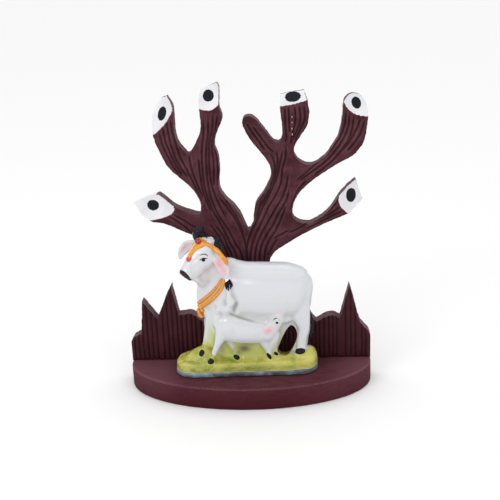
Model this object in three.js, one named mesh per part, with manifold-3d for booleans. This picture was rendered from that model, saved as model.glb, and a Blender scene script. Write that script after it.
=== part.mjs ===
// A cow and calf figure standing on a half-round wooden base, in front of a board cut out as a tree
// that rises from a row of tall grass. Millimetres, +Z up, +X to the viewer's right, -Y to the viewer.
// Everything is modelled from the board's front face (y = 0) and the base's top (z = 0), and the
// whole is then moved so that the origin is the middle of the underside of its box.

import * as THREE from "three";
import { mergeVertices } from "three/addons/utils/BufferGeometryUtils.js";
import Module from "manifold-3d";

const wasm = await Module();
wasm.setup();

// Driving dimensions
const baseWidth = 230;
const baseThickness = 21;
const baseReach = 62; // how far the base comes out in front of the board
const baseEdge = 1.5; // the softened edge of the base, top and bottom
const boardThickness = 13;
const figureLength = 134;
const figureDepth = 36;
const figureMiddle = [-2, -19.6]; // x and y of the middle of the figure's own ground
const figureTurn = THREE.MathUtils.degToRad(2.4); // the ground's right end lies farther back
const rimHeight = 5.5; // the plain foot under the figure's turf
const turfHeight = 14;
const restGap = 0.3; // the hairline between pieces that stand on one another

const halfWidth = baseWidth / 2;
const boardClearance = 0.8; // the space left between the figure and the board
const cutMargin = 60; // how far a cutting block reaches past what it cuts

const woodColour = 0x4a2229;
const resinColour = 0xe9e8e6;
const woodFinish = new THREE.MeshStandardMaterial({ color: woodColour, roughness: 0.75, metalness: 0 });
const resinFinish = new THREE.MeshStandardMaterial({ color: resinColour, roughness: 0.2, metalness: 0 });

// A closed geometry as a solid that can be joined and cut.
function solidOf(geometry) {
  const bare = geometry.clone();
  bare.deleteAttribute("normal");
  bare.deleteAttribute("uv");
  const merged = mergeVertices(bare, 1e-3);
  return new wasm.Manifold(
    new wasm.Mesh({
      numProp: 3,
      vertProperties: merged.attributes.position.array,
      triVerts: new Uint32Array(merged.index.array),
    }),
  );
}

function geometryOf(solid) {
  const mesh = solid.getMesh();
  const geometry = new THREE.BufferGeometry();
  geometry.setAttribute("position", new THREE.BufferAttribute(new Float32Array(mesh.vertProperties), 3));
  geometry.setIndex(new THREE.BufferAttribute(new Uint32Array(mesh.triVerts), 1));
  geometry.computeVertexNormals();
  return geometry;
}

const joined = (solids) => solids.reduce((whole, piece) => whole.add(piece));

// A flat outline in X and Z, given thickness from the board's front face back.
function plank(shape, thickness = boardThickness) {
  const settings = { depth: thickness, bevelEnabled: false, curveSegments: 6 };
  const geometry = new THREE.ExtrudeGeometry(shape, settings);
  geometry.rotateX(Math.PI / 2);
  geometry.translate(0, thickness, 0);
  return solidOf(geometry);
}

// The base: a straight back, short straight sides beside the board, and a half ellipse in front
function baseSolid() {
  const outline = new THREE.Shape();
  const inset = baseEdge;
  outline.moveTo(-halfWidth + inset, boardThickness - inset);
  outline.lineTo(-halfWidth + inset, 0);
  outline.absellipse(0, 0, halfWidth - inset, baseReach - inset, Math.PI, 2 * Math.PI);
  outline.lineTo(halfWidth - inset, boardThickness - inset);
  const geometry = new THREE.ExtrudeGeometry(outline, {
    depth: baseThickness - 2 * baseEdge,
    bevelThickness: baseEdge,
    bevelSize: inset,
    bevelSegments: 1,
    curveSegments: 36,
  });
  geometry.translate(0, 0, baseEdge - baseThickness);
  return solidOf(geometry);
}

// The board's outline, from its lower left corner over the grass, the tree's seven boughs and the
// grass again to its lower right corner. Each entry is a run of straight points, or a smooth curve.
const boardOutline = [
  { straight: [[-halfWidth, restGap], [-halfWidth, 20], [-112, 24.5], [-108.5, 26.5], [-104.5, 28],
    [-101.5, 62]] },
  { straight: [[-88.2, 43.4], [-84.5, 51.2], [-77.9, 67.4], [-72.7, 76.5], [-67.2, 47]] },
  { smooth: [[-61.6, 47.6], [-55.9, 48.4], [-51.2, 46], [-46.5, 41.5], [-40, 36.5]] },
  // Up the trunk's left side and along the underside of the lowest left bough
  { smooth: [[-40, 36.5], [-31, 44], [-24, 60], [-19.5, 78], [-18, 94], [-21, 106], [-30, 116.5],
    [-50, 127.4], [-73, 138.5]] },
  { straight: [[-85.2, 140.8], [-95.1, 147], [-103.2, 156.6], [-91.2, 162.4], [-77.9, 166.9]] },
  { smooth: [[-74, 164.4], [-64.5, 155.5], [-53, 150], [-42, 147], [-39.4, 152], [-40.6, 161.3],
    [-46.3, 171.1], [-55.1, 180], [-66.8, 192], [-75.3, 210.2], [-78.8, 224], [-79.2, 236.5], [-76, 245],
    [-70.8, 252.4], [-64.3, 255.4]] },
  { smooth: [[-61, 250.5], [-59, 243], [-58.8, 222], [-55.5, 212], [-49, 203.6]] },
  { smooth: [[-46.1, 204.4], [-38.2, 218.5], [-35.2, 229.7], [-36, 244]] },
  { straight: [[-36.3, 252], [-34.6, 258.7], [-27.8, 262.2], [-19.5, 265.6], [-17.4, 262]] },
  { smooth: [[-18, 252.5], [-18.2, 245], [-15.9, 234.1], [-20.5, 224], [-24.2, 212], [-21.3, 200.2],
    [-20.7, 188], [-21.6, 172], [-16.5, 161.6], [-7.2, 151.5], [-1.3, 139.9], [2.4, 130.4]] },
  { smooth: [[5, 131], [7.9, 138], [8.9, 148], [11.3, 156.6], [16.8, 164], [22.4, 173.5], [25.5, 182],
    [24.6, 191.5], [19, 200.6], [11, 211], [4.8, 221], [1.6, 230], [3.4, 235], [9, 236], [15.5, 231],
    [22.4, 221.5], [28.5, 213.4], [33, 211.6]] },
  { smooth: [[35.6, 213.5], [37, 222], [35.3, 242.7]] },
  { straight: [[35.9, 253.4], [44.7, 254.7], [56.6, 256.3], [59.8, 248.3]] },
  { smooth: [[61.3, 237.8], [59, 225.7], [52.2, 215.7], [47.4, 207.6], [47.4, 199.5], [53.8, 192.5],
    [63.5, 190.8], [74.2, 197.8], [81, 206.6], [86.8, 217], [89.8, 232], [91.3, 246], [95.5, 251.2],
    [100.6, 252.2], [105.2, 250.7], [109.4, 246.3], [112.3, 239.3], [112.6, 230]] },
  { smooth: [[112, 227], [109.4, 212], [104.6, 203.8], [98.5, 197.7], [82.2, 188.8], [63.7, 176.6],
    [53.2, 167.4], [46.7, 157.8], [44, 148], [45.6, 140.4], [52, 136.4], [59.8, 136], [69.4, 140.9],
    [77.7, 148.2], [88.2, 163.6]] },
  { straight: [[95.3, 170.8], [101.4, 175.4], [104.6, 165.6], [108.3, 154.7], [96.9, 145.4]] },
  // Along the underside of the lowest right bough and down the trunk's right side to the grass
  { smooth: [[92, 143], [73.4, 135.3], [50.1, 123.7], [30.8, 111.9], [24.1, 105.3], [21.6, 98],
    [22.4, 88], [28, 76], [41, 61.5], [54, 49], [63.9, 37.5]] },
  { smooth: [[70, 41], [76.3, 43.8], [81.5, 43.4], [86.3, 40.8]] },
  { straight: [[95.2, 74.5], [98.8, 62.6], [103.3, 42.6], [105.9, 35.6], [109.2, 31.4], [113, 27.6],
    [halfWidth, 22.4], [halfWidth, restGap]] },
];

// Each bough's end is sawn off at a slant: a point on the cut's front edge as [x, z], the way the cut
// faces in X and Z, and how far it runs that way between the board's front and its back
const sawnEnds = [
  [[-69, 153.5], [-0.98, 0.2], 37],
  [[-64.5, 236], [-0.87, 0.49], 15.5],
  [[-25, 245.5], [-0.35, 0.94], 18.5],
  [[48, 246.2], [-0.18, 0.98], 10.5],
  [[98.2, 238], [0.6, 0.8], 16],
  [[88.5, 158], [0.93, 0.25], 20],
];

// The block that a slanting saw cut takes away, with its flat underside on the cut
function sawnOff([[x, z], [faceX, faceZ], run]) {
  const slope = new THREE.Vector3(faceX * run, boardThickness, faceZ * run);
  const away = new THREE.Vector3(faceX * boardThickness, -run, faceZ * boardThickness).normalize();
  const block = new THREE.BoxGeometry(slope.length() + cutMargin / 2, cutMargin, cutMargin * 0.75);
  const middle = new THREE.Vector3(x, 0, z).addScaledVector(slope, 0.5);
  middle.addScaledVector(away, cutMargin / 2);
  const turned = new THREE.Matrix4().makeBasis(slope.normalize(), away, slope.clone().cross(away));
  block.applyMatrix4(turned.setPosition(middle));
  return solidOf(block);
}

function boardSolid() {
  const shape = new THREE.Shape();
  boardOutline.forEach(({ straight, smooth }, i) => {
    const given = (straight ?? smooth).map(([x, z]) => new THREE.Vector2(x, z));
    const points = straight ? given : new THREE.SplineCurve(given).getPoints(2 * (given.length - 1));
    if (i === 0) shape.moveTo(points[0].x, points[0].y);
    points.forEach((p) => shape.lineTo(p.x, p.y));
  });
  return sawnEnds.map(sawnOff).reduce((board, block) => board.subtract(block), plank(shape));
}

// A limb or trunk of the animals: rings of ellipses along a smooth path. Each station is
// [x, y, z, half thickness across, half height], and the ends are closed to a rounded point.
function limb(stations, sides = 10, ringsBetween = 2) {
  const places = stations.map((s) => new THREE.Vector3(s[0], s[1], s[2]));
  const halves = stations.map((s) => new THREE.Vector3(s[3], s[4], 0));
  const path = new THREE.CatmullRomCurve3(places, false, "centripetal");
  const sizes = new THREE.CatmullRomCurve3(halves, false, "centripetal");
  const rings = (stations.length - 1) * ringsBetween;
  const across = limbAcross(stations);
  const positions = [];
  for (let i = 0; i <= rings; i++) {
    const share = i / rings;
    const at = path.getPoint(share);
    const along = path.getTangent(share);
    const size = sizes.getPoint(share);
    const side = across.clone().addScaledVector(along, -across.dot(along)).normalize();
    const up = new THREE.Vector3().crossVectors(side, along);
    for (let j = 0; j < sides; j++) {
      const angle = (2 * Math.PI * j) / sides;
      const point = at.clone().addScaledVector(side, size.x * Math.cos(angle));
      positions.push(point.addScaledVector(up, size.y * Math.sin(angle)));
    }
  }
  const tip = (s) => 0.35 * Math.min(s[3], s[4]);
  const first = path.getPoint(0).addScaledVector(path.getTangent(0), -tip(stations[0]));
  const final = path.getPoint(1).addScaledVector(path.getTangent(1), tip(stations.at(-1)));
  positions.push(first, final);
  const index = [];
  for (let j = 0; j < sides; j++) {
    const next = (j + 1) % sides;
    for (let i = 0; i < rings; i++) {
      const [a, b, c, d] = [i * sides + j, i * sides + next, (i + 1) * sides + next, (i + 1) * sides + j];
      index.push(a, b, c, a, c, d);
    }
    index.push(positions.length - 2, next, j);
    index.push(positions.length - 1, rings * sides + j, rings * sides + next);
  }
  const geometry = new THREE.BufferGeometry().setFromPoints(positions);
  geometry.setIndex(index);
  const solid = solidOf(geometry);
  if (solid.volume() > 0) return solid;
  for (let i = 0; i < index.length; i += 3) {
    [index[i + 1], index[i + 2]] = [index[i + 2], index[i + 1]];
  }
  geometry.setIndex(index);
  return solidOf(geometry);
}

// The way that a station's first size is measured: along Y, or along X where the path runs along Y
function limbAcross(stations) {
  const [a, b] = [stations[0], stations.at(-1)];
  const run = new THREE.Vector3(b[0] - a[0], b[1] - a[1], b[2] - a[2]).normalize();
  return Math.abs(run.y) < 0.8 ? new THREE.Vector3(0, 1, 0) : new THREE.Vector3(1, 0, 0);
}

// The cow, head to the left and turned a little to the viewer
const cow = {
  body: [[-38, -21, 73, 8, 12], [-31, -21, 76, 11.5, 20.5], [-18, -21, 81.5, 13.5, 28.5],
    [0, -21, 79.8, 14.5, 28.3], [20, -21, 79, 15, 28.3], [38, -21, 79.5, 14.5, 27.3],
    [50, -21, 79.8, 12.5, 23], [57, -21, 79, 8, 15]],
  neck: [[-16, -21, 84, 12, 22], [-24, -22, 94, 10, 18], [-30, -24, 104, 9, 14.5],
    [-33, -26, 114, 8.5, 12]],
  dewlap: [[-39, -30, 98, 2.5, 5], [-38, -27, 88, 3, 6], [-38.5, -24, 76, 4, 7], [-37, -22, 64, 6, 6],
    [-33, -21, 56, 6, 6]],
  hump: [[-24, -21, 103, 5, 6], [-14, -21, 104.5, 5.5, 8], [-4, -21, 101, 5, 6]],
  head: [[-29, -26, 125, 8, 9], [-35, -30.5, 120.5, 9.6, 12.5], [-41, -34.5, 114, 8.6, 11.2],
    [-47, -38.5, 108, 6.8, 8.2], [-52, -41.5, 103.8, 6.2, 6.4], [-54, -43, 102, 5, 5]],
  poll: [[-37, -24, 132, 3.5, 4.5], [-31, -27, 131.5, 4.5, 5], [-25, -30, 128.5, 3.5, 4]],
  farHorn: [[-39.5, -23, 132, 4.5, 5], [-39, -22.5, 136, 3, 3.6], [-37, -22.5, 139.5, 1.4, 1.8]],
  nearHorn: [[-22.5, -31, 128, 3.6, 3.4], [-21.5, -32, 132, 2.6, 2.4], [-21.5, -31.5, 136.5, 1.1, 1.1]],
  nearEar: [[-25, -35, 122, 3, 3.5], [-20, -39, 115, 2.2, 5.2], [-16.5, -39.5, 107, 1.8, 4.4],
    [-14.5, -38.5, 100.5, 1, 1.6]],
  farEar: [[-45, -25, 128, 2.2, 3.4], [-51, -22.5, 125, 2, 5], [-56, -22.5, 119, 1.6, 4.2],
    [-58.5, -23, 113, 1, 1.6]],
  garland: [[-18, -35.5, 98, 2, 3], [-23, -35, 89, 2.2, 3.4], [-31, -33.5, 81, 2.2, 3.6],
    [-40, -30, 76, 2.4, 3.6], [-44, -24, 73, 2.4, 3.4]],
  pendant: [[-43, -29, 74, 3, 3.4], [-42.5, -30, 67, 3.4, 4], [-39, -30, 60, 2.4, 2.8]],
  nearFrontLeg: [[-30, -25, 62, 5, 8], [-35, -24, 45, 3.8, 5], [-38.5, -23, 30, 3.4, 4],
    [-42, -22.5, 15, 4, 4.6]],
  farFrontLeg: [[-28, -16, 62, 5, 8], [-30, -15, 45, 3.8, 5], [-31, -14, 30, 3.4, 4],
    [-33, -14, 15, 4, 4.4]],
  nearHindLeg: [[45.5, -24.5, 71, 6, 13], [50, -25, 54.5, 5, 8.5], [52, -25, 42.5, 3.8, 5.4],
    [50, -24.5, 31, 3.4, 4.8], [48.5, -24, 16, 4, 5]],
  farHindLeg: [[35, -16, 64, 6, 9], [31, -16, 50, 4.4, 5], [26.5, -15.5, 36, 3.4, 3.8],
    [23, -15, 15, 3.8, 4.2]],
  udder: [[27, -22, 55.5, 6, 6], [34, -22, 54, 8, 6.8], [40, -22, 55.5, 6, 6]],
  tail: [[54, -21, 98, 2.4, 3], [58.5, -20, 85, 2.2, 2.4], [57.5, -19, 62, 2, 2.2],
    [57.6, -18, 44, 2.6, 2.6], [57.6, -18, 30, 3.4, 3], [57, -18, 15, 2, 2]],
};

// The calf, rump to the left, its head up at the udder
const calf = {
  body: [[-25, -33.5, 51, 4, 8], [-18, -33.5, 49.2, 6.2, 13], [-8, -33, 46.2, 6.6, 13],
    [4, -32, 43.6, 6.2, 11.8], [14, -31, 41.7, 5.4, 10], [20, -30, 40, 4, 7.5]],
  neck: [[16, -30.5, 39, 5, 8], [21, -29.5, 45, 5.2, 8.2], [25, -29, 51, 5.2, 7.4]],
  head: [[23, -29, 47, 5.2, 7], [27, -29, 53.5, 5.6, 7], [29.5, -28.5, 59.3, 4.8, 5],
    [30.5, -27, 63.2, 3.6, 3.4]],
  nearEar: [[23, -33, 50.5, 1.8, 2.6], [19.5, -34.5, 47, 1.6, 3.2], [16, -35, 44.5, 1, 1.6]],
  nearHindLeg: [[-21, -33.5, 49, 5, 9.5], [-26.5, -34.5, 37, 3.8, 5.2], [-31.5, -35, 25, 2.6, 3.2],
    [-35, -35, 12, 3, 3.4]],
  farHindLeg: [[-17, -29, 41, 4, 6], [-16, -28.5, 31, 2.6, 3.6], [-12, -28, 22, 2.2, 2.6],
    [-10, -27.5, 13, 2.6, 2.8]],
  nearFrontLeg: [[13, -31, 39, 4, 6.5], [16.5, -30.5, 28, 2.4, 3], [19.5, -29.5, 13, 2.5, 2.8]],
  farFrontLeg: [[19, -27, 39, 4, 6], [23.5, -25.5, 29, 2.4, 3], [25.5, -24, 13, 2.5, 2.8]],
  tail: [[-20, -33.5, 60, 2.2, 2.4], [-13, -34.5, 65, 3, 3.6], [-11, -35.5, 73, 3.4, 3.8],
    [-13.5, -36, 81, 2, 2.2], [-14.6, -36, 89, 1.8, 2.4], [-14, -36, 95, 0.9, 1.1]],
};

// The web that fills the space under the two bellies, its foot, and the low dome the hooves stand on
const web = [[-37, -18, 34, 4, 20], [-20, -18, 36, 5, 22], [0, -18, 36, 5.5, 22], [20, -17.5, 36, 5, 22],
  [34, -17, 36, 4, 22], [45, -17, 38, 3.5, 18]];
const webFoot = [[-26, -23, 20, 5, 7], [-10, -23, 22, 7, 12], [8, -22.5, 22, 7, 12],
  [20, -21, 21, 6, 10], [28, -19, 18, 4, 6]];
const dome = [[-60, -21, 9, 11, 5.5], [-40, -20.5, 9, 15, 8], [0, -20, 9, 15.5, 8.5],
  [40, -18.5, 9, 15, 8.5], [58, -18, 9, 11, 6.5]];

// The opening beside the near hind leg, as seen from the front, and how steeply it falls to the back
const opening = [[40.5, 45.4], [34.7, 38.4], [30.1, 29.4], [26.9, 20.6], [29.6, 15], [33.3, 13.9],
  [37.6, 15.5], [40.4, 20.1], [44.8, 27.8], [45.7, 35.2], [45, 40]];
const openingFall = 0.35;
const openingReach = [-28, 6]; // from front to back in Y

function openingSolid() {
  const ring = opening.map(([x, z]) => new THREE.Vector2(x, z));
  const around = new THREE.SplineCurve([...ring, ring[0]]).getPoints(2 * ring.length).slice(1);
  const settings = { depth: openingReach[1] - openingReach[0], bevelEnabled: false };
  const geometry = new THREE.ExtrudeGeometry(new THREE.Shape(around), settings);
  geometry.rotateX(Math.PI / 2);
  geometry.translate(0, openingReach[1], 0);
  const fall = new THREE.Matrix4().makeShear(0, 0, 0, -openingFall, 0, 0);
  geometry.applyMatrix4(fall);
  geometry.translate(0, 0, figureMiddle[1] * openingFall);
  return solidOf(geometry);
}

// The figure's own ground: a plain foot and a band of turf over it, both with round ends
function groundSlab(bottom, top, inset, rounding) {
  const shape = new THREE.Shape();
  const corner = figureDepth / 2 - inset - rounding;
  const side = figureLength / 2 - figureDepth / 2;
  shape.absarc(side, 0, corner, -Math.PI / 2, Math.PI / 2);
  shape.absarc(-side, 0, corner, Math.PI / 2, (3 * Math.PI) / 2);
  shape.closePath();
  const geometry = new THREE.ExtrudeGeometry(shape, {
    depth: top - bottom - 2 * rounding,
    bevelEnabled: rounding > 0,
    bevelThickness: rounding,
    bevelSize: rounding,
    bevelSegments: 2,
    curveSegments: 10,
  });
  geometry.translate(0, 0, bottom + rounding);
  geometry.rotateZ(figureTurn);
  geometry.translate(figureMiddle[0], figureMiddle[1], 0);
  return solidOf(geometry);
}

// What lies under the base's top, and behind the board's front face, is cleared from the figure
function clearance() {
  const under = new THREE.BoxGeometry(4 * cutMargin, 4 * cutMargin, cutMargin);
  under.translate(0, 0, restGap - cutMargin / 2);
  const behind = new THREE.BoxGeometry(4 * cutMargin, cutMargin, 4 * cutMargin);
  behind.translate(0, cutMargin / 2 - boardClearance, 0);
  return solidOf(under).add(solidOf(behind));
}

function figureSolid() {
  const large = new Set(["body", "neck", "head"]);
  const sidesOf = (name) => (large.has(name) ? 14 : 8);
  const animal = (parts) => Object.entries(parts).map(([name, stations]) => limb(stations, sidesOf(name)));
  const slabs = [groundSlab(0, rimHeight, 0, 0), groundSlab(rimHeight - 4, turfHeight, 0.8, 2.5)];
  const ground = joined([...slabs, limb(dome, 14), limb(web, 10), limb(webFoot, 10)]).subtract(openingSolid());
  return joined([ground, ...animal(cow), ...animal(calf)]).subtract(clearance());
}

// The statue
function named(name, solid, material) {
  const mesh = new THREE.Mesh(geometryOf(solid), material);
  mesh.name = name;
  return mesh;
}

const statue = new THREE.Group();
statue.add(
  named("base", baseSolid(), woodFinish),
  named("tree_board", boardSolid(), woodFinish),
  named("cow_and_calf", figureSolid(), resinFinish),
);
statue.position.set(0, (baseReach - boardThickness) / 2, baseThickness);

export default statue;
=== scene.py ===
import math

import bpy
import numpy as np
from mathutils import Matrix, Vector
from mathutils.bvhtree import BVHTree


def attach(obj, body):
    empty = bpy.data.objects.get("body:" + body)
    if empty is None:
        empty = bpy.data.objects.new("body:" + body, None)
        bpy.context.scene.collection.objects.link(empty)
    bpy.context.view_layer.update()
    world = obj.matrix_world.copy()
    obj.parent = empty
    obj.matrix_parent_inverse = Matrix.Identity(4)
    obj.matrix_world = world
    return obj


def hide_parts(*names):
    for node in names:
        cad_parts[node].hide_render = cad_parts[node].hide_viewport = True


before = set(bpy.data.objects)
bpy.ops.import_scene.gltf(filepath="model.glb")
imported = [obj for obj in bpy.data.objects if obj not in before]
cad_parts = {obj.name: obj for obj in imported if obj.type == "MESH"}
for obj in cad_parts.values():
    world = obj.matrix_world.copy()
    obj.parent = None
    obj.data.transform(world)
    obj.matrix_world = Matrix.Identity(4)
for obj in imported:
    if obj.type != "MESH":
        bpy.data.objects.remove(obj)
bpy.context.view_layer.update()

print("frame loaded")

# All sizes are in millimetres from the middle of the board's foot line, and go to metres at the end
footLine = np.array([0.0, 24.5, 21.0])
quarterTurn = math.pi / 2

# What a mask holds where its paint is out of reach
farOff = -9.0


def limited(values):
    return np.clip(values, farOff, -farOff)


def toFrame(points):
    return (np.asarray(points, float) + footLine) * 0.001


def toSizes(points):
    return np.asarray(points, float) * 1000.0 - footLine


def unit(v):
    v = np.asarray(v, float)
    return v / (np.linalg.norm(v, axis=-1, keepdims=True) + 1e-12)


def smoothStep(a, b, x):
    t = np.clip((x - a) / (b - a), 0, 1)
    return t * t * (3 - 2 * t)


# Two coordinates, or two axes, seen in a frame turned by an angle in degrees
def turned(x, y, degrees):
    c, s = math.cos(math.radians(degrees)), math.sin(math.radians(degrees))
    return x * c + y * s, y * c - x * s


# A curve through the points, in cubic spans whose slope at a point is half the step between its neighbours
def smoothThrough(points, perSpan=8):
    p = np.asarray(points, float)
    ends = np.vstack([2 * p[0] - p[1], p, 2 * p[-1] - p[-2]])
    t = (np.arange(perSpan) / perSpan)[None, :, None]
    a, b, c, d = (ends[i:len(ends) - 3 + i][:, None] for i in range(4))
    second, third = 2 * a - 5 * b + 4 * c - d, 3 * b - a - 3 * c + d
    spans = 0.5 * (2 * b + (c - a) * t + second * t ** 2 + third * t ** 3)
    return np.vstack([spans.reshape(-1, p.shape[1]), p[-1:]])


# The length of a path up to each of its points, and the places at given lengths along it
def runAlong(path):
    return np.r_[0, np.cumsum(np.linalg.norm(np.diff(path, axis=0), axis=1))]


def placesAt(at, run, path):
    return np.stack([np.interp(at, run, column) for column in path.T], 1)


# How far along a straight line the point nearest to each place lies, as a share, and how far away it is
def nearLine(x, y, a, b):
    d = b - a
    t = np.clip(((x - a[0]) * d[0] + (y - a[1]) * d[1]) / (d @ d + 1e-9), 0, 1)
    return t, np.hypot(x - a[0] - t * d[0], y - a[1] - t * d[1])


# The directions that point out of a closed outline which runs against the clock
def waysOut(points):
    along = unit(np.roll(points, -1, 0) - np.roll(points, 1, 0))
    return np.stack([along[:, 1], -along[:, 0]], 1)


# Lumpy noise from -1 to 1: random values on a cubic lattice, blended smoothly between its corners
def lumps(points, size, seed=1):
    q = np.asarray(points, float) / size
    cell = np.floor(q).astype(np.int64)
    f = q - cell
    f = f * f * (3 - 2 * f)
    total = np.zeros(len(q))
    for corner in range(8):
        o = np.array([corner & 1, (corner >> 1) & 1, corner >> 2])
        k = (cell + o) @ np.array([73856093, 19349663, 83492791]) + seed * 2654435761
        k = (k ^ (k >> 13)) * 1274126177
        value = ((k ^ (k >> 16)) & 0xFFFF) / 32767.5 - 1
        total += value * np.prod(np.where(o, f, 1 - f), axis=1)
    return total


# Layers of lumps added up: each has its height, its size and the seed of its random values
def waves(points, layers):
    return sum(height * lumps(points, size, seed) for height, size, seed in layers)


# Quads between neighbouring rings of a closed tube, as rows of four corner numbers
def tubeFaces(rings, sides):
    i, j = np.meshgrid(np.arange(rings - 1), np.arange(sides), indexing="ij")
    k = (j + 1) % sides
    low, high = i * sides, (i + 1) * sides
    return np.stack([low + j, low + k, high + k, high + j], -1).reshape(-1, 4)


# Rings of points as a closed surface that faces outwards, with a fan to the tip at either end
def closedTube(rings, tips=None):
    n, sides = rings.shape[:2]
    if tips is None:
        tips = [rings[0].mean(0), rings[-1].mean(0)]
    v = np.vstack([rings.reshape(-1, 3), tips])
    faces = tubeFaces(n, sides)
    k, last = np.arange(sides), (n - 1) * sides
    after = (k + 1) % sides
    fans = np.vstack([np.column_stack([after, k, np.full(sides, n * sides)]),
                      np.column_stack([k + last, after + last, np.full(sides, n * sides + 1)])])
    tris = np.vstack([faces[:, [0, 1, 2]], faces[:, [0, 2, 3]], fans])
    volume = np.einsum("ij,ij->", v[tris[:, 0]], np.cross(v[tris[:, 1]], v[tris[:, 2]]))
    faces, fans = (f[:, ::-1] if volume < 0 else f for f in (faces, fans))
    return v, faces.tolist() + fans.tolist()


# Several shapes as one list of points and one of faces
def gathered(shapes):
    vertices, faces, first = [], [], 0
    for v, f in shapes:
        vertices.append(v)
        faces += [[k + first for k in face] for face in f]
        first += len(v)
    return np.vstack(vertices), faces


def newObject(name, vertices, faces):
    mesh = bpy.data.meshes.new(name)
    mesh.from_pydata(toFrame(vertices).tolist(), [], [list(f) for f in faces])
    shape = bpy.data.objects.new(name, mesh)
    bpy.context.scene.collection.objects.link(shape)
    return shape


def newPiece(name, vertices, faces, materials, slot, replaced=None):
    piece = newObject(name, vertices, faces)
    piece.data.validate()
    for material in materials:
        piece.data.materials.append(material)
    piece.data.shade_smooth()
    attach(piece, "root")
    if replaced:
        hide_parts(replaced)
    return piece


# A value of every item in one of a mesh's lists, as rows of so many numbers
def readRows(items, name, width, kind=float):
    values = np.empty(len(items) * width, kind)
    items.foreach_get(name, values)
    return values.reshape(-1, width)


def vertexArray(mesh):
    return toSizes(readRows(mesh.vertices, "co", 3))


def setAttributes(mesh, values):
    for name, column in values.items():
        layer = mesh.attributes.new(name, "FLOAT", "POINT")
        layer.data.foreach_set("value", np.asarray(column, np.float32))


def cutWith(shape, other, operation):
    cut = shape.modifiers.new("cut", "BOOLEAN")
    cut.operation = operation
    cut.solver = "MANIFOLD"
    cut.object = other


# The finished mesh of a shape with its modifiers worked in
def worked(shape):
    graph = bpy.context.evaluated_depsgraph_get()
    return bpy.data.meshes.new_from_object(shape.evaluated_get(graph))


# The node tree that the functions below write to
tree = {}


def writeTo(nodeTree):
    tree["nodes"], tree["links"] = nodeTree.nodes, nodeTree.links


def newMaterial(name):
    material = bpy.data.materials.new(name)
    material.use_nodes = True
    writeTo(material.node_tree)
    return material, tree["nodes"]["Principled BSDF"]


# A socket takes another node's output, a number, or a colour that still lacks its alpha
def give(socket, value):
    if isinstance(value, bpy.types.NodeSocket):
        tree["links"].new(value, socket)
    elif isinstance(value, tuple) and len(value) < len(socket.default_value):
        socket.default_value = (*value, 1)
    else:
        socket.default_value = value


# The names of sockets are written with low lines in place of spaces
def giveAll(node, **values):
    for name, value in values.items():
        give(node.inputs[name.replace("_", " ")], value)


def addNode(kind, settings=None, **values):
    node = tree["nodes"].new(kind)
    for name, value in (settings or {}).items():
        setattr(node, name, value)
    giveAll(node, **values)
    return node


def mathNode(operation, *values):
    node = addNode("ShaderNodeMath", {"operation": operation})
    for socket, value in zip(node.inputs, values):
        give(socket, value)
    return node.outputs[0]


def times(a, b):
    return mathNode("MULTIPLY", a, b)


# A value times a factor, plus an amount
def scaled(value, factor, amount):
    return mathNode("MULTIPLY_ADD", value, factor, amount)


# From start to end, smoothly, as a value goes from low to high
def ramp(value, low, high, start=0.0, end=1.0):
    node = addNode("ShaderNodeMapRange", {"interpolation_type": "SMOOTHSTEP"}, Value=value, From_Min=low,
                   From_Max=high, To_Min=start, To_Max=end)
    return node.outputs["Result"]


# A colour with others laid over it, each by its own share
def layered(colour, *layers):
    for share, over in layers:
        node = addNode("ShaderNodeMix", {"data_type": "RGBA"})
        for k, value in zip((0, 6, 7), (share, colour, over)):
            give(node.inputs[k], value)
        colour = node.outputs[2]
    return colour


def mask(name):
    return addNode("ShaderNodeAttribute", {"attribute_name": name}).outputs["Fac"]


# Paint with a ragged border: it begins where a mask plus scattered noise passes nought, within a soft width
def raggedMask(name, noise, scatter, amount, soft):
    return ramp(mathNode("ADD", mask(name), scaled(noise, scatter, amount)), -soft, soft)


# Bumps on top of each other: each has its height, its strength and its depth in metres
def bumped(*layers):
    below = {}
    for height, strength, depth in layers:
        node = addNode("ShaderNodeBump", Height=height, Strength=strength, Distance=depth, **below)
        below = {"Normal": node.outputs["Normal"]}
    return below["Normal"]


# A node group of noise on object coordinates: a broad mottle, a fine grain and streaks along one axis
def makeMottle():
    group = bpy.data.node_groups.new("mottle", "ShaderNodeTree")
    face = group.interface
    for name, value in (("Broad Scale", 60.0), ("Fine Scale", 600.0)):
        face.new_socket(name, in_out="INPUT", socket_type="NodeSocketFloat").default_value = value
    face.new_socket("Streak Stretch", in_out="INPUT", socket_type="NodeSocketVector")
    for name in ("Broad", "Fine", "Streak"):
        face.new_socket(name, in_out="OUTPUT", socket_type="NodeSocketFloat")
    writeTo(group)
    given, out = addNode("NodeGroupInput").outputs, addNode("NodeGroupOutput")
    where = addNode("ShaderNodeTexCoord").outputs["Object"]
    stretched = addNode("ShaderNodeVectorMath", {"operation": "MULTIPLY"})
    give(stretched.inputs[0], where)
    give(stretched.inputs[1], given["Streak Stretch"])
    for name, vector, scale, detail, roughness in (("Broad", where, given["Broad Scale"], 4.0, 0.6),
                                                   ("Fine", where, given["Fine Scale"], 3.0, 0.6),
                                                   ("Streak", stretched.outputs[0], 1.0, 4.0, 0.65)):
        noise = addNode("ShaderNodeTexNoise", Vector=vector, Scale=scale, Detail=detail, Roughness=roughness)
        give(out.inputs[name], noise.outputs["Fac"])
    return group


mottleGroup = makeMottle()


def mottle(broad, fine, stretch):
    node = addNode("ShaderNodeGroup", {"node_tree": mottleGroup}, Broad_Scale=broad, Fine_Scale=fine,
                   Streak_Stretch=stretch)
    return node.outputs


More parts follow.
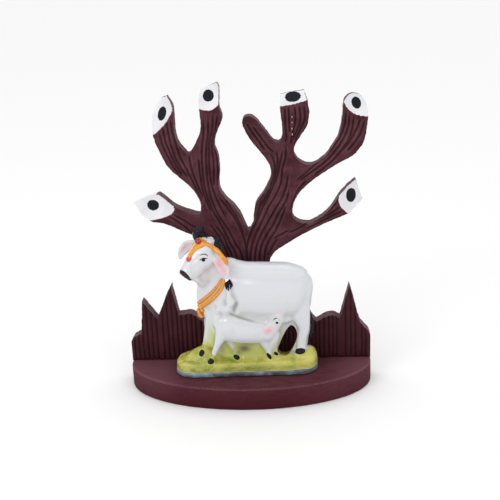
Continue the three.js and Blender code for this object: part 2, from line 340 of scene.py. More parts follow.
# Colours of the painted woods: "shadedWall" is the painted shade of the base's front wall, "sheen" a painted
# sheen, and "wornAndHighlit" wear with a painted highlight
woodPaint = {
    "dark": (0.046, 0.0085, 0.014), "brown": (0.102, 0.03, 0.042), "baseTop": (0.112, 0.037, 0.045),
    "fence": (0.044, 0.0075, 0.0125), "shadedWall": (0.057, 0.007, 0.012), "sheen": (0.185, 0.075, 0.1),
    "rubbedAndSheen": (0.15, 0.06, 0.08), "groove": (0.012, 0.004, 0.006), "wornAndHighlit": (0.2, 0.105, 0.125),
    "white": (0.82, 0.81, 0.83), "chalk": (0.7, 0.7, 0.74), "pith": (0.008, 0.009, 0.014),
    "sawDeep": (0.08, 0.03, 0.038), "sawPale": (0.175, 0.095, 0.112), "sawStain": (0.055, 0.018, 0.025),
}

# The three woods. A pair is where a noise begins and ends to show, "noise" its broad and fine scale and its
# stretch, a "ragged" one the scatter, amount and softness of a border, "roughness" a factor on the streaks
# and what is added to it, a bump its strength and depth, and the rest are shares of a paint
basePaint = {
    "noise": (55, 900, (70, 260, 420)), "mottled": (0.3, 0.7), "streaked": (0.35, 0.75), "streaks": 0.45,
    "shadedWall": 0.85, "paintedSheen": 0.55, "patchy": (0.35, 0.62), "wornAndHighlit": 0.42, "roughness": (0.2, 0.62),
    "streakBump": (0.25, 0.0004), "fineBump": (0.12, 0.0002), "specular": 0.05,
}
boardPaint = {
    "noise": (70, 900, (420, 420, 60)), "mottled": (0.32, 0.72), "streaked": (0.5, 0.8), "streaks": 0.35,
    "fence": 0.75, "rubbedAndSheenAt": (0.25, 0.7), "rubbedAndSheen": 0.55, "grooveAt": (0.1, 0.95), "groove": 0.66,
    "raggedSawn": (2.4, -1.2, 0.12), "chalky": (0.3, 0.8), "raggedPith": (1.2, -0.6, 0.1),
    "roughness": (0.2, 0.5), "streakBump": (0.3, 0.0005), "fineBump": (0.25, 0.0002), "specular": 0.14,
}
sawnPaint = {
    "noise": (90, 800, (300, 900, 300)), "streaked": (0.3, 0.7), "stained": (0.45, 0.75),
    "raggedSpilt": (2.4, -1.6, 0.12), "roughness": 0.8, "streakBump": (0.5, 0.0006),
    "fineBump": (0.4, 0.0003), "specular": 0.5,
}


def makeWood(name, look, colours):
    material, shader = newMaterial(name)
    noise = mottle(*look["noise"])
    broad, fine, streak = (noise[kind] for kind in ("Broad", "Fine", "Streak"))
    rough = look["roughness"]
    if isinstance(rough, tuple):
        rough = scaled(streak, *rough)
    normal = bumped((streak, *look["streakBump"]), (fine, *look["fineBump"]))
    giveAll(shader, Base_Color=layered(*colours(look, woodPaint, broad, fine, streak)), Roughness=rough,
            Specular_IOR_Level=look["specular"], Normal=normal)
    return material


# Matte maroon-brown paint: mottled, streaked along the grain, darker on the wall as painted shade, with a
# painted sheen on the top's two wings, and paler along the upper edge where it is worn and a highlight is
# painted
def baseColours(look, paint, broad, fine, streak):
    wornAndHighlit = times(mask("edge"), ramp(fine, *look["patchy"]))
    return (paint["brown"], (ramp(broad, *look["mottled"]), paint["baseTop"]),
            (times(ramp(streak, *look["streaked"]), look["streaks"]), paint["dark"]),
            (times(mask("shadedWall"), look["shadedWall"]), paint["shadedWall"]),
            (times(mask("paintedSheen"), look["paintedSheen"]), paint["sheen"]),
            (times(wornAndHighlit, look["wornAndHighlit"]), paint["wornAndHighlit"]))


# The same paint, darker in the grooves and the grass, paler on the ridges as dry-brushing with a painted
# sheen, and chalky white on the sawn ends
def boardColours(look, paint, broad, fine, streak):
    # Painted sheen on the ridges between the grooves, over dry-brushing
    rubbedAndSheen = times(mask("ridge"), ramp(streak, *look["rubbedAndSheenAt"]))
    chalk = layered(paint["white"], (ramp(broad, *look["chalky"]), paint["chalk"]))
    return (paint["dark"], (ramp(broad, *look["mottled"]), paint["brown"]),
            (times(ramp(streak, *look["streaked"]), look["streaks"]), paint["baseTop"]),
            (times(mask("grass"), look["fence"]), paint["fence"]),
            (times(rubbedAndSheen, look["rubbedAndSheen"]), paint["rubbedAndSheen"]),
            (times(ramp(mask("groove"), *look["grooveAt"]), look["groove"]), paint["groove"]),
            (raggedMask("sawn", fine, *look["raggedSawn"]), chalk),
            (raggedMask("pith", fine, *look["raggedPith"]), paint["pith"]))


# The board's cut edge: rough and streaked from front to back, with white spilt over the leftmost end
def edgeColours(look, paint, broad, fine, streak):
    return (paint["sawDeep"], (ramp(streak, *look["streaked"]), paint["sawPale"]),
            (ramp(broad, *look["stained"]), paint["sawStain"]),
            (raggedMask("spilt", fine, *look["raggedSpilt"]), paint["white"]))


# "wearAndHighlight" is how worn the rings of the upper edge are, with a painted highlight on them, from the
# wall inwards;
# "wallShade" and "sheenWings" are a place along the width and the distances from it between which the painted
# shade of the wall fades and the painted sheen of the top comes in
base = {
    "width": 230, "reach": 62, "thickness": 21, "back": 13, "corner": 1.5, "edgeRadius": 1.7, "step": 1.2,
    "lidRings": 60, "lidEnd": 0.02, "swell": (0.1, 22, 3), "ripple": (0.04, 5, 4), "rippleFlat": (1, 1, 0.4),
    "topFrom": -1, "wearAndHighlight": (0.2, 0.55, 0.9, 1, 0.9, 0.6, 0.3), "wallTop": (-2.2, -0.8),
    "wallShade": (-12, 40, 95), "wallFade": 0.55, "sheenWings": (8, 60, 95),
}


# The half-round outline, evenly stepped: a half ellipse, two short straight sides and a straight back with
# small round corners
def baseOutline():
    a, b, back, corner = base["width"] / 2, base["reach"], base["back"], base["corner"]
    turn = np.linspace(math.pi, 2 * math.pi, 260)
    front = np.stack([a * np.cos(turn), b * np.sin(turn)], 1)
    bend = np.linspace(0, quarterTurn, 6)
    right = np.stack([a - corner + corner * np.cos(bend), back - corner + corner * np.sin(bend)], 1)
    left = np.stack([-a + corner - corner * np.sin(bend), back - corner + corner * np.cos(bend)], 1)
    path = np.vstack([front, right, left, front[:1]])
    run = runAlong(path)
    return placesAt(np.linspace(0, run[-1], int(run[-1] / base["step"]), endpoint=False), run, path)


def awayFrom(x, middle, near, far):
    return smoothStep(near, far, np.abs(x - middle))


# The rounded edge carried round the outline, then rings that shrink to the middle for top and underside
def makeBase(material):
    points = baseOutline()
    out, r, t = waysOut(points), base["edgeRadius"], base["thickness"]
    bend = np.linspace(0, quarterTurn, len(base["wearAndHighlight"]))
    inset = np.r_[r - r * np.sin(bend), r - r * np.cos(bend)]
    height = np.r_[-t + r - r * np.cos(bend), -r + r * np.sin(bend)]
    middle = np.array([0.0, (base["back"] - base["reach"]) / 2])
    shrink = np.linspace(1, base["lidEnd"], base["lidRings"])[1:]
    lid = [middle + (points - out * r - middle) * s for s in shrink]
    rings = [(p, -t) for p in lid[::-1]] + [(points - out * d, z) for d, z in zip(inset, height)]
    rings += [(p, 0.0) for p in lid]
    rings = np.stack([np.column_stack([p, np.full(len(p), z)]) for p, z in rings])
    v, faces = closedTube(rings, [[*middle, -t], [*middle, 0]])
    wave = waves(v, [base["swell"]]) + waves(v * base["rippleFlat"], [base["ripple"]])
    v[:, 2] += np.where(v[:, 2] > base["topFrom"], wave, 0)
    piece = newPiece("half_round_base", v, faces, [material], "base", "base")
    # The rounded upper edge: patchy wear with a painted highlight along it
    edge = np.zeros(rings.shape[:2])
    first = len(lid) + len(bend)
    edge[first:first + len(bend)] = np.array(base["wearAndHighlight"])[:, None]
    # Painted shade: the front wall is darker, fading towards the sides; the top's two wings get a painted
    # sheen
    shadedWall = 1 - smoothStep(*base["wallTop"], v[:, 2])
    shade = 1 - base["wallFade"] * awayFrom(v[:, 0], *base["wallShade"])
    setAttributes(piece.data, {"edge": np.r_[edge.ravel(), 0, 0], "shadedWall": shadedWall * shade,
                               "paintedSheen": (1 - shadedWall) * awayFrom(v[:, 0], *base["sheenWings"])})


makeBase(makeWood("baseWoodPaint", basePaint, baseColours))
print("base made")

# "waves" are the height, size and seed of the front's unevenness; "spilt" runs from where the white paint on
# the edge begins to where it is full, and up to how high; "trunk" is half its width, how high it widens and
# how fast; "tree" is the same for where no upright groove shows
board = {
    "thickness": 13, "step": 0.7, "grooveDepth": 1, "grooveWidth": 1.5, "edgeRound": 0.9, "edgeWidth": 2.6,
    "valleyDepth": 0.45, "valleyWidth": 3, "x": (-117, 117), "z": (-1.5, 268), "surface": 0.25, "left": 0.7,
    "waves": [(0.28, 9, 5), (0.16, 3, 6), (0.06, 1.4, 7)], "waveShare": 0.6, "sawnWaveShare": 0.05,
    "grassWidth": 0.95, "rag": 0.22, "ragged": [(1, 2.2, 11), (0.5, 1.2, 12)], "trimmed": 0.12,
    "saw": [(0.1, 2.5, 13)], "foot": 2, "side": 113.5, "sharp": 38, "sideLimit": 0.18, "backLimit": 0.9,
    "backSkin": 0.3, "spilt": (-76, -84, 180), "spiltMost": 4, "tree": (42, 0.5, 36, 44),
    "trunk": (24, 60, 0.5), "trunkGrass": 0.2, "grassTop": (76, 100), "backGrass": 0.35, "cutAside": 24,
    "cutBeyond": 16, "unspilt": 3, "behind": 4, "before": -4, "closest": 0.25, "ridgeLess": 2.5,
    "grooveTip": 0.45,
}

# The outline as in the frame: runs of straight points and smooth curves, from the lower left corner over
# the grass, the seven boughs and the grass again to the lower right corner
boardOutline = [
    ("straight", [(-115, 0.3), (-115, 20), (-112, 24.5), (-108.5, 26.5), (-104.5, 28), (-101.5, 62)]),
    ("straight", [(-88.2, 43.4), (-84.5, 51.2), (-77.9, 67.4), (-72.7, 76.5), (-67.2, 47)]),
    ("smooth", [(-61.6, 47.6), (-55.9, 48.4), (-51.2, 46), (-46.5, 41.5), (-40, 36.5)]),
    ("smooth", [(-40, 36.5), (-31, 44), (-24, 60), (-19.5, 78), (-18, 94), (-21, 106), (-30, 116.5),
     (-50, 127.4), (-73, 138.5)]),
    ("straight", [(-85.2, 140.8), (-95.1, 147), (-103.2, 156.6), (-91.2, 162.4), (-77.9, 166.9)]),
    ("smooth", [(-74, 164.4), (-64.5, 155.5), (-53, 150), (-42, 147), (-39.4, 152), (-40.6, 161.3),
     (-46.3, 171.1), (-55.1, 180), (-66.8, 192), (-75.3, 210.2), (-78.8, 224), (-79.2, 236.5), (-76, 245),
     (-70.8, 252.4), (-64.3, 255.4)]),
    ("smooth", [(-61, 250.5), (-59, 243), (-58.8, 222), (-55.5, 212), (-49, 203.6)]),
    ("smooth", [(-46.1, 204.4), (-38.2, 218.5), (-35.2, 229.7), (-36, 244)]),
    ("straight", [(-36.3, 252), (-34.6, 258.7), (-27.8, 262.2), (-19.5, 265.6), (-17.4, 262)]),
    ("smooth", [(-18, 252.5), (-18.2, 245), (-15.9, 234.1), (-20.5, 224), (-24.2, 212), (-21.3, 200.2),
     (-20.7, 188), (-21.6, 172), (-16.5, 161.6), (-7.2, 151.5), (-1.3, 139.9), (2.4, 130.4)]),
    ("smooth", [(5, 131), (7.9, 138), (8.9, 148), (11.3, 156.6), (16.8, 164), (22.4, 173.5), (25.5, 182),
     (24.6, 191.5), (19, 200.6), (11, 211), (4.8, 221), (1.6, 230), (3.4, 235), (9, 236), (15.5, 231),
     (22.4, 221.5), (28.5, 213.4), (33, 211.6)]),
    ("smooth", [(35.6, 213.5), (37, 222), (35.3, 242.7)]),
    ("straight", [(35.9, 253.4), (44.7, 254.7), (56.6, 256.3), (59.8, 248.3)]),
    ("smooth", [(61.3, 237.8), (59, 225.7), (52.2, 215.7), (47.4, 207.6), (47.4, 199.5), (53.8, 192.5),
     (63.5, 190.8), (74.2, 197.8), (81, 206.6), (86.8, 217), (89.8, 232), (91.3, 246), (95.5, 251.2),
     (100.6, 252.2), (105.2, 250.7), (109.4, 246.3), (112.3, 239.3), (112.6, 230)]),
    ("smooth", [(112, 227), (109.4, 212), (104.6, 203.8), (98.5, 197.7), (82.2, 188.8), (63.7, 176.6),
     (53.2, 167.4), (46.7, 157.8), (44, 148), (45.6, 140.4), (52, 136.4), (59.8, 136), (69.4, 140.9),
     (77.7, 148.2), (88.2, 163.6)]),
    ("straight", [(95.3, 170.8), (101.4, 175.4), (104.6, 165.6), (108.3, 154.7), (96.9, 145.4)]),
    ("smooth", [(92, 143), (73.4, 135.3), (50.1, 123.7), (30.8, 111.9), (24.1, 105.3), (21.6, 98),
     (22.4, 88), (28, 76), (41, 61.5), (54, 49), (63.9, 37.5)]),
    ("smooth", [(70, 41), (76.3, 43.8), (81.5, 43.4), (86.3, 40.8)]),
    ("straight", [(95.2, 74.5), (98.8, 62.6), (103.3, 42.6), (105.9, 35.6), (109.2, 31.4), (113, 27.6),
     (115, 22.4), (115, 0.3)]),
]

# The six sawn ends: the heel of the cut on the front, the way that it faces, its run from front to back,
# how fast it rounds off to the sides, and the dark pith's middle, two radii and tilt in degrees
sawnEnds = [
    {"heel": (-64, 152), "faces": (-0.98, 0.2), "run": 41, "round": 0.107,
     "pith": (-84, 155.6, 5.9, 4.9, 10)},
    {"heel": (-62, 238.5), "faces": (-0.87, 0.49), "run": 16, "round": 0.012,
     "pith": (-69.4, 240, 3.9, 6.3, -22)},
    {"heel": (-24, 243), "faces": (-0.35, 0.94), "run": 20.5, "round": 0.045,
     "pith": (-27.4, 254.3, 5.1, 4.9, 30)},
    {"heel": (46, 245.3), "faces": (-0.18, 0.98), "run": 11, "round": 0.005, "pith": (47, 251.1, 7, 3.9, 6)},
    {"heel": (98, 237), "faces": (0.6, 0.8), "run": 17.5, "round": 0.027,
     "pith": (102.3, 244.1, 4, 5.2, 32)},
    {"heel": (86, 157), "faces": (0.95, 0.1), "run": 22, "round": 0.04, "pith": (97.4, 160.3, 4.6, 6.7, 4)},
]

# The grooves of the boughs, each a line of points on the front
boughGrooves = [
    [(-32.5, 239.1), (-33, 222.2), (-35.4, 207.2), (-35.8, 192), (-35.2, 176.5), (-32.9, 163.9),
     (-28.5, 150.1), (-23, 139.3), (-18.4, 128.5), (-13.8, 117.5), (-9.2, 106.5), (-7, 88), (-10, 62)],
    [(-27.7, 239.9), (-29, 222.1), (-31.4, 207.1), (-32.1, 191.9), (-31.6, 176.4), (-29.8, 163.8),
     (-25.5, 150), (-19.9, 139.2), (-14.7, 130.5), (-9.7, 118.5), (-4, 106.4), (-2, 88), (-3, 60)],
    [(-23.5, 240.8), (-24.8, 227), (-27.9, 216.1), (-28.9, 207), (-29.3, 191.8), (-28.6, 176.3),
     (-25.7, 164.8), (-21.7, 154.1), (-15.8, 141.3)],
    [(-19.7, 238.7), (-21.8, 226.9), (-25.3, 217), (-26.3, 209), (-25.5, 196.8), (-25.7, 183.5),
     (-26.3, 173.1)],
    [(-17.9, 232), (-19.6, 225.8), (-23.2, 216.9), (-23.9, 211.9), (-22.3, 199.7), (-22, 186.4),
     (-23.2, 173)],
    [(-65.8, 239), (-64.8, 228.2), (-62.9, 213.1), (-58.9, 198.8), (-53.6, 188.4), (-49.4, 182.1)],
    [(-61.8, 236.1), (-60.9, 225.1), (-58.4, 213), (-54.8, 200.7), (-49.6, 188.3), (-45.2, 177.8),
     (-40.8, 166.2), (-37.3, 157.7)],
    [(-69.2, 229), (-67.8, 217.3), (-64.5, 206.1), (-59.9, 194.7), (-54, 183.3)],
    [(-72.4, 224), (-70.8, 214.1), (-68.6, 207.6), (-65.8, 200.9), (-61.9, 192.3), (-57.3, 184.9)],
    [(-47.1, 202.5), (-46.1, 192.3), (-43.4, 181.9), (-40, 171.4), (-36.5, 161.9)],
    [(-38.8, 200.2), (-38.4, 186.9), (-37.2, 173.4), (-34.5, 161.9), (-29.7, 148)],
    [(-69.7, 145.9), (-62.9, 141.4), (-56, 135.9), (-49.2, 129.8), (-36, 121)],
    [(-65, 147.3), (-56.6, 142.3), (-48.8, 136.8), (-42.9, 132.9), (-30, 122), (-22, 110)],
    [(-32.3, 137.4), (-27.6, 130.9), (-22.9, 122.1), (-19.2, 113.3), (-14.6, 98), (-15, 78)],
    [(-22.7, 163.6), (-16.1, 154), (-9.5, 143.2), (-4, 131.3), (-0.4, 118.3), (1.1, 106.3), (1.6, 88),
     (2.5, 60)],
    [(-16.8, 160.3), (-10.3, 149.6), (-4.7, 137.8), (-1.5, 128.1)],
    [(-27.3, 136.2), (-20.6, 126.4), (-17, 115.4), (-13.4, 106.6), (-11, 88), (-15.5, 62)],
    [(37.1, 206.2), (33.8, 191.5), (30.1, 177.8), (24, 165.1), (17.3, 152.3), (11.8, 140.6), (5.5, 128.7),
     (1.6, 116.6), (-0.8, 101.9)],
    [(40, 211.8), (39.1, 198.2), (35.9, 186.8), (34.5, 175.3), (29.6, 163.8), (22.4, 152.2), (16.9, 140.4),
     (10.7, 128.6), (6.2, 116.5), (3.9, 101.8), (5.2, 85), (8, 60)],
    [(41.5, 184.4), (39.5, 172.9), (35.2, 161.3), (28, 149.7), (21.4, 137.9), (15.3, 127.2), (10.2, 115.2),
     (8.2, 101.7), (9.2, 86), (14.5, 60)],
    [(42.2, 170.5), (38.5, 157.7), (31.3, 146), (25.3, 134.2), (19.2, 124.7), (14.2, 113.9), (12.3, 101.7),
     (13, 86), (21.5, 62)],
    [(38.4, 153), (34.7, 143.6), (28.6, 130.5), (22.5, 121), (18.2, 111.4), (16.9, 101.6), (17.4, 88),
     (26, 66)],
    [(17, 159.4), (13.2, 148.9), (10.5, 138.2), (5.5, 128.7)],
    [(5.8, 229.6), (10.4, 221.6), (15.7, 213.6), (21.4, 204.4)],
    [(10.7, 227.2), (17, 218.1), (23.3, 208.9), (28.6, 203)],
    [(26.4, 202), (29.4, 191.6), (28.5, 182.4), (24.2, 171)],
    [(31.4, 204.1), (32.2, 193.8), (30.5, 184.7), (27.7, 175.5), (21.8, 165.2), (15.1, 152.4)],
    [(39.7, 243), (39.9, 229.6), (40.4, 217.4), (40, 211.8)],
    [(43, 243.5), (43.2, 229.5), (43.5, 220.6)],
    [(48.5, 243.5), (48.8, 231.6), (46.3, 220.5), (43.8, 209.4)],
    [(52.3, 244), (53.2, 232.5), (50.2, 222.6), (46.2, 214.9)],
    [(56.6, 244), (57, 232.4), (52.9, 222.6), (47.8, 212.6)],
    [(93, 240), (92.1, 226.9), (88, 215.9), (81.3, 206), (72.9, 197.2), (63.9, 189.5), (54.8, 181.7),
     (48, 176.1)],
    [(96.3, 237), (95.1, 224.6), (90.7, 213.6), (84, 203.7), (75.1, 193.7), (64.9, 186), (57, 180.5),
     (50.2, 175.5)],
    [(100.1, 234), (98.4, 222.3), (95.1, 212.3), (88.4, 202.4), (80.6, 193.6), (71.6, 186.4), (63.7, 180.3)],
    [(106, 231.5), (102.8, 223.2), (98.4, 214.5), (92.9, 206.8), (87.3, 201.3), (81.7, 194.7)],
    [(109.3, 229.7), (106, 218.7), (100.6, 209.9), (93.9, 202.2)],
    [(85.5, 156.5), (76.7, 147.2), (66.4, 140.9), (56.1, 135.2), (46.9, 130.1), (39.9, 127.2)],
    [(87.5, 151), (79, 144.8), (71, 140.8), (61.8, 136.9)],
    [(90.5, 147.8), (78.9, 141.8), (67.5, 136.1), (56, 130.4)],
    [(26, 122.1), (33, 125.6), (40, 129.6)],
    [(56.9, 175.9), (50, 167.9), (44.7, 157.5), (41.6, 148.1)],
    [(29.5, 122), (24.6, 113.6), (20.2, 105.2)],
]

# Where the upright grooves of the grass stand
grassAt = [-111.2, -107, -102.5, -98.2, -93.5, -88.7, -82.8, -77.8, -73.2, -68.8, -64.2, -59.8, -55, -50.5,
           -45.8, -41.2, -36.6, -31.6, -27, -22.2, -17.8, -13, -8.4, -3.8, 1, 5.6, 10.4, 15, 19.4, 24, 28.6,
           33, 37.4, 41.6, 45.8, 50, 54.4, 58.6, 62.8, 66.2, 70.8, 75.5, 79.2, 83, 91.2, 96.2, 100.5, 106.5,
           110.3]


def outlinePoints(step):
    runs = [np.array(p, float) if kind == "straight" else smoothThrough(p, 6) for kind, p in boardOutline]
    path = np.vstack(runs + [runs[0][:1]])
    run = runAlong(path)
    even = np.union1d(np.linspace(0, run[-1], int(run[-1] / step), endpoint=False), run[:-1])
    return placesAt(even[np.r_[True, np.diff(even) > board["closest"]]], run, path)


# For each grid point near a line, how deep its round groove reaches there: full at the line, none a width
# away, and running out towards the line's two ends
def carveLine(depths, xs, zs, line, width, ends=0.06):
    p = smoothThrough(line, 5)
    n = len(p) - 1
    for i in range(n):
        low, high = np.minimum(p[i], p[i + 1]) - width, np.maximum(p[i], p[i + 1]) + width
        (x0, x1), (z0, z1) = (np.searchsorted(axis, [low[k], high[k]]) for k, axis in enumerate((xs, zs)))
        t, away = nearLine(xs[None, x0:x1], zs[z0:z1, None], p[i], p[i + 1])
        share = (i + t) / n
        fade = np.clip(np.minimum(share, 1 - share) / ends, 0, 1) ** 0.5
        half = width * (board["grooveTip"] + (1 - board["grooveTip"]) * fade)
        v = smoothStep(0, 1, 1 - away / (half + 1e-6)) * fade
        depths[z0:z1, x0:x1] = np.maximum(depths[z0:z1, x0:x1], v)


# How far a point lies past a sawn end's heel, along the way that the cut faces, less its rounding sideways
def cutShare(end, x, z):
    fx, fz = unit(end["faces"])
    dx, dz = x - end["heel"][0], z - end["heel"][1]
    s, t = dx * fx + dz * fz, -dx * fz + dz * fx
    near = (np.abs(t) < board["cutAside"]) & (s < end["run"] + board["cutBeyond"])
    return np.where(near, s - end["round"] * t * t, farOff)


# How far a point lies inside a sawn end's dark pith
def pithShare(end, x, z):
    px, pz, a, b, tilt = end["pith"]
    u, v = turned(x - px, z - pz, tilt)
    return (1 - np.sqrt((u / a) ** 2 + (v / b) ** 2)) * min(a, b)


# An upright groove's height, half the trunk's width, before which it is short, how far it leans and sways,
# and its bends, each as a share of the lean and a height
upright = {
    "top": 92, "trunk": 38, "short": 40, "uneven": 6, "lean": 0.6, "sway": 0.3,
    "bends": ((0.4, 12), (0.2, 30)), "leanTurn": 2.3, "topTurn": 1.7,
}


# The upright grooves of the grass differ a little from each other, by the sine of their number
def grassLines():
    lines = []
    for k, x in enumerate(grassAt):
        lean = upright["lean"] * math.sin(k * upright["leanTurn"])
        short = upright["short"] + upright["uneven"] * math.sin(k * upright["topTurn"])
        top = upright["top"] if abs(x) > upright["trunk"] else short
        foot = (x + upright["sway"] * math.sin(k), 0)
        lines.append([foot] + [(x + lean * share, z) for share, z in upright["bends"]] + [(x + lean, top)])
    return lines


# The front as depths on a grid: grooves in broader valleys, a rounded rim, waves, and the slanted sawn ends
def boardRelief():
    step = board["step"]
    xs, zs = (np.arange(board[k][0], board[k][1] + step, step) for k in ("x", "z"))
    grooves, valleys, low, rim = (np.zeros((len(zs), len(xs))) for _ in range(4))
    for line in boughGrooves:
        carveLine(grooves, xs, zs, line, board["grooveWidth"])
        carveLine(valleys, xs, zs, line, board["valleyWidth"])
    for line in grassLines():
        carveLine(low, xs, zs, line, board["grooveWidth"] * board["grassWidth"], 0.02)
    gx, gz = np.meshgrid(xs, zs)
    half, widen, foot, start = board["tree"]
    inTree = (np.abs(gx) < half + widen * (gz - foot)) & (gz > start)
    grooves = np.maximum(grooves, np.where(inTree, 0, low))
    path = outlinePoints(1.5)
    carveLine(rim, xs, zs, np.vstack([path, path[:1]]), board["edgeWidth"], 1e-6)
    flat = np.column_stack([gx.ravel(), np.zeros(gx.size), gz.ravel()])
    wave = waves(flat, board["waves"]).reshape(gx.shape)
    y = board["surface"] + board["grooveDepth"] * grooves + board["valleyDepth"] * valleys
    y = y + board["edgeRound"] * rim ** 2 + board["waveShare"] * wave
    ridges = np.clip(4 * valleys * (1 - valleys) - board["ridgeLess"] * grooves, 0, 1)
    for end in sawnEnds:
        past = cutShare(end, gx, gz)
        cut = board["thickness"] * past / end["run"] + board["sawnWaveShare"] * wave
        grooves = np.where(past > 0, 0, grooves)
        y = np.maximum(y, np.minimum(cut, board["thickness"] - board["left"]))
    return xs, zs, y, grooves, ridges


# A block whose front is the relief and whose flat back lies behind the board
def reliefBlock(xs, zs, y):
    gx, gz = np.meshgrid(xs, zs)
    front = np.column_stack([gx.ravel(), y.ravel(), gz.ravel()])
    n = len(front)
    g = np.arange(n).reshape(y.shape)
    quads = np.stack([g[:-1, :-1], g[:-1, 1:], g[1:, 1:], g[1:, :-1]], -1).reshape(-1, 4)
    rim = np.r_[g[0], g[1:, -1], g[-1, -2::-1], g[-2:0:-1, 0]]
    backRim = front[rim]
    backRim[:, 1] = board["thickness"] + board["behind"]
    k = n + np.arange(len(rim))
    skirt = np.stack([np.roll(rim, -1), rim, k, np.roll(k, -1)], 1)
    faces = quads.tolist() + skirt.tolist() + [k[::-1].tolist()]
    return newObject("block", np.vstack([front, backRim]), faces)


# The outline as a prism, ragged along its edge and uneven from front to back, except at the foot and sides
def raggedPrism():
    path = outlinePoints(1.0)
    out = -waysOut(path)
    free = (path[:, 1] >= board["foot"]) & (np.abs(path[:, 0]) <= board["side"])
    flat = np.column_stack([path[:, 0], np.zeros(len(path)), path[:, 1]])
    path = path + out * (free * (board["rag"] * waves(flat, board["ragged"]) - board["trimmed"]))[:, None]
    rings = []
    for level in np.linspace(board["before"], board["thickness"], 10):
        ring = np.column_stack([path[:, 0], np.full(len(path), level), path[:, 1]])
        ring[:, [0, 2]] += out * (free * waves(ring, board["saw"]))[:, None]
        rings.append(ring)
    k, last = np.arange(len(path)), (len(rings) - 1) * len(path)
    lids = [k[::-1].tolist(), (k + last).tolist()]
    return np.vstack(rings), tubeFaces(len(rings), len(path)).tolist() + lids


# The prism cut back to the relief on its front, with its masks of paint
def makeBoard(paint, edgePaint):
    xs, zs, y, grooves, ridges = boardRelief()
    block = reliefBlock(xs, zs, y)
    block.data.materials.append(paint)
    piece = newPiece("grooved_tree_board", *raggedPrism(), [paint, edgePaint], "tree_board", "tree_board")
    cutWith(piece, block, "INTERSECT")
    mesh = worked(piece)
    piece.modifiers.clear()
    piece.data = mesh
    bpy.data.objects.remove(block)
    v = vertexArray(mesh)
    x, z = v[:, 0], v[:, 2]
    print("board has", len(v), "points and", len(mesh.polygons), "faces")
    facing = readRows(mesh.polygons, "normal", 3)[:, 1]
    mesh.polygons.foreach_set("material_index", (np.abs(facing) < board["sideLimit"]).astype(np.int32))
    sawn, pith = (np.max([share(e, x, z) for e in sawnEnds], axis=0) for share in (cutShare, pithShare))
    begin, full, top = board["spilt"]
    leftmost = smoothStep(begin, full, x) * (z < top)
    at = tuple(np.clip(np.round((places - axis[0]) / board["step"]).astype(int), 0, len(axis) - 1)
               for places, axis in ((z, zs), (x, xs)))
    half, high, widen = board["trunk"]
    trunk = np.abs(x) < half + np.clip(high - z, 0, high) * widen
    grass = np.where(trunk, board["trunkGrass"], 1.0) * (1 - smoothStep(*board["grassTop"], z))
    behind = v[:, 1] > board["thickness"] - board["backSkin"]
    masks = {"sawn": (limited(sawn), farOff), "pith": (limited(pith), farOff),
             "groove": (grooves[at], 0), "ridge": (ridges[at], 0), "grass": (grass, board["backGrass"])}
    setAttributes(mesh, {name: np.where(behind, back, front) for name, (front, back) in masks.items()})
    spilt = np.clip(sawn, farOff, board["spiltMost"]) * leftmost - board["unspilt"] * (1 - leftmost)
    setAttributes(mesh, {"spilt": spilt})
    mesh.shade_smooth()
    mesh.polygons.foreach_set("use_smooth", facing < board["backLimit"])
    mesh.set_sharp_from_angle(angle=math.radians(board["sharp"]))


makeBoard(makeWood("carvedBoardPaint", boardPaint, boardColours),
          makeWood("sawnBoardEdge", sawnPaint, edgeColours))
print("board made")

# The photograph's viewing angle, which also places the small painted details on the figure
view = {
    "distance": 824.06, "lookAt": (3.92, 0, 111.68), "elevation": 19.27, "yaw": 3.67, "roll": -2.5,
    "focal": 890.9, "middle": 250, "sensor": 36, "width": 500, "near": 0.01, "far": 20,
}


def viewAxes():
    el, yaw = math.radians(view["elevation"]), math.radians(view["yaw"])
    back = np.array([math.sin(yaw) * math.cos(el), -math.cos(yaw) * math.cos(el), math.sin(el)])
    right = np.array([math.cos(yaw), math.sin(yaw), 0])
    right, up = turned(right, np.cross(back, right), view["roll"])
    return right, up, back, np.array(view["lookAt"]) + view["distance"] * back


# The eye and the direction in which it sees a point of the picture
def sightLine(u, w):
    right, up, back, eye = viewAxes()
    x, y = (u - view["middle"]) / view["focal"], (w - view["middle"]) / view["focal"]
    return eye, unit(right * x - up * y - back)


# The point of a cloud that lies closest to the viewer within a millimetre of the line of sight
def nearestSeen(v, pixel, within=1.0):
    eye, d = sightLine(*pixel)
    q = v - eye
    depth = q @ d
    off = np.linalg.norm(q - depth[:, None] * d, axis=1)
    seen = off < within
    k = np.argmin(np.where(seen, depth, np.inf)) if seen.any() else np.argmin(off)
    return eye + d * depth[k]


# Ellipses carried along a smooth path, with round tips: each station is x, y, z, half the thickness across
# and half the height; "hollow" presses the front face in between its two edges, as in an ear
def limb(stations, sides=24, perSpan=7, hollow=0.0, tip=0.8, least=0.3, pressed=0.55, steep=0.8):
    s = smoothThrough(stations, perSpan)
    path, a, b = s[:, :3], np.maximum(s[:, 3], least), np.maximum(s[:, 4], least)
    along = unit(np.gradient(path, axis=0))
    q = np.linspace(0, quarterTurn, 7)[1:-1]
    opening, closing = np.cos(q[::-1]), np.cos(q)
    before = path[0] - along[0] * (tip * min(a[0], b[0]) * np.sin(q[::-1]))[:, None]
    after = path[-1] + along[-1] * (tip * min(a[-1], b[-1]) * np.sin(q))[:, None]
    run = unit(path[-1] - path[0])
    path = np.vstack([before, path, after])
    along = np.vstack([np.repeat(along[:1], len(q), 0), along, np.repeat(along[-1:], len(q), 0)])
    a, b = (np.r_[size[0] * opening, size, size[-1] * closing] for size in (a, b))
    across = np.array([0.0, 1, 0]) if abs(run[1]) < steep else np.array([1.0, 0, 0])
    side = unit(across - (along @ across)[:, None] * along)
    up = np.cross(side, along)
    angle = np.arange(sides) * 2 * math.pi / sides
    c, d = np.cos(angle), np.sin(angle)
    press = 1 - hollow * np.exp(-(d / pressed) ** 2) * (c < 0)
    return closedTube(path[:, None] + side[:, None] * (a[:, None] * c * press)[..., None] +
                      up[:, None] * (b[:, None] * d)[..., None])


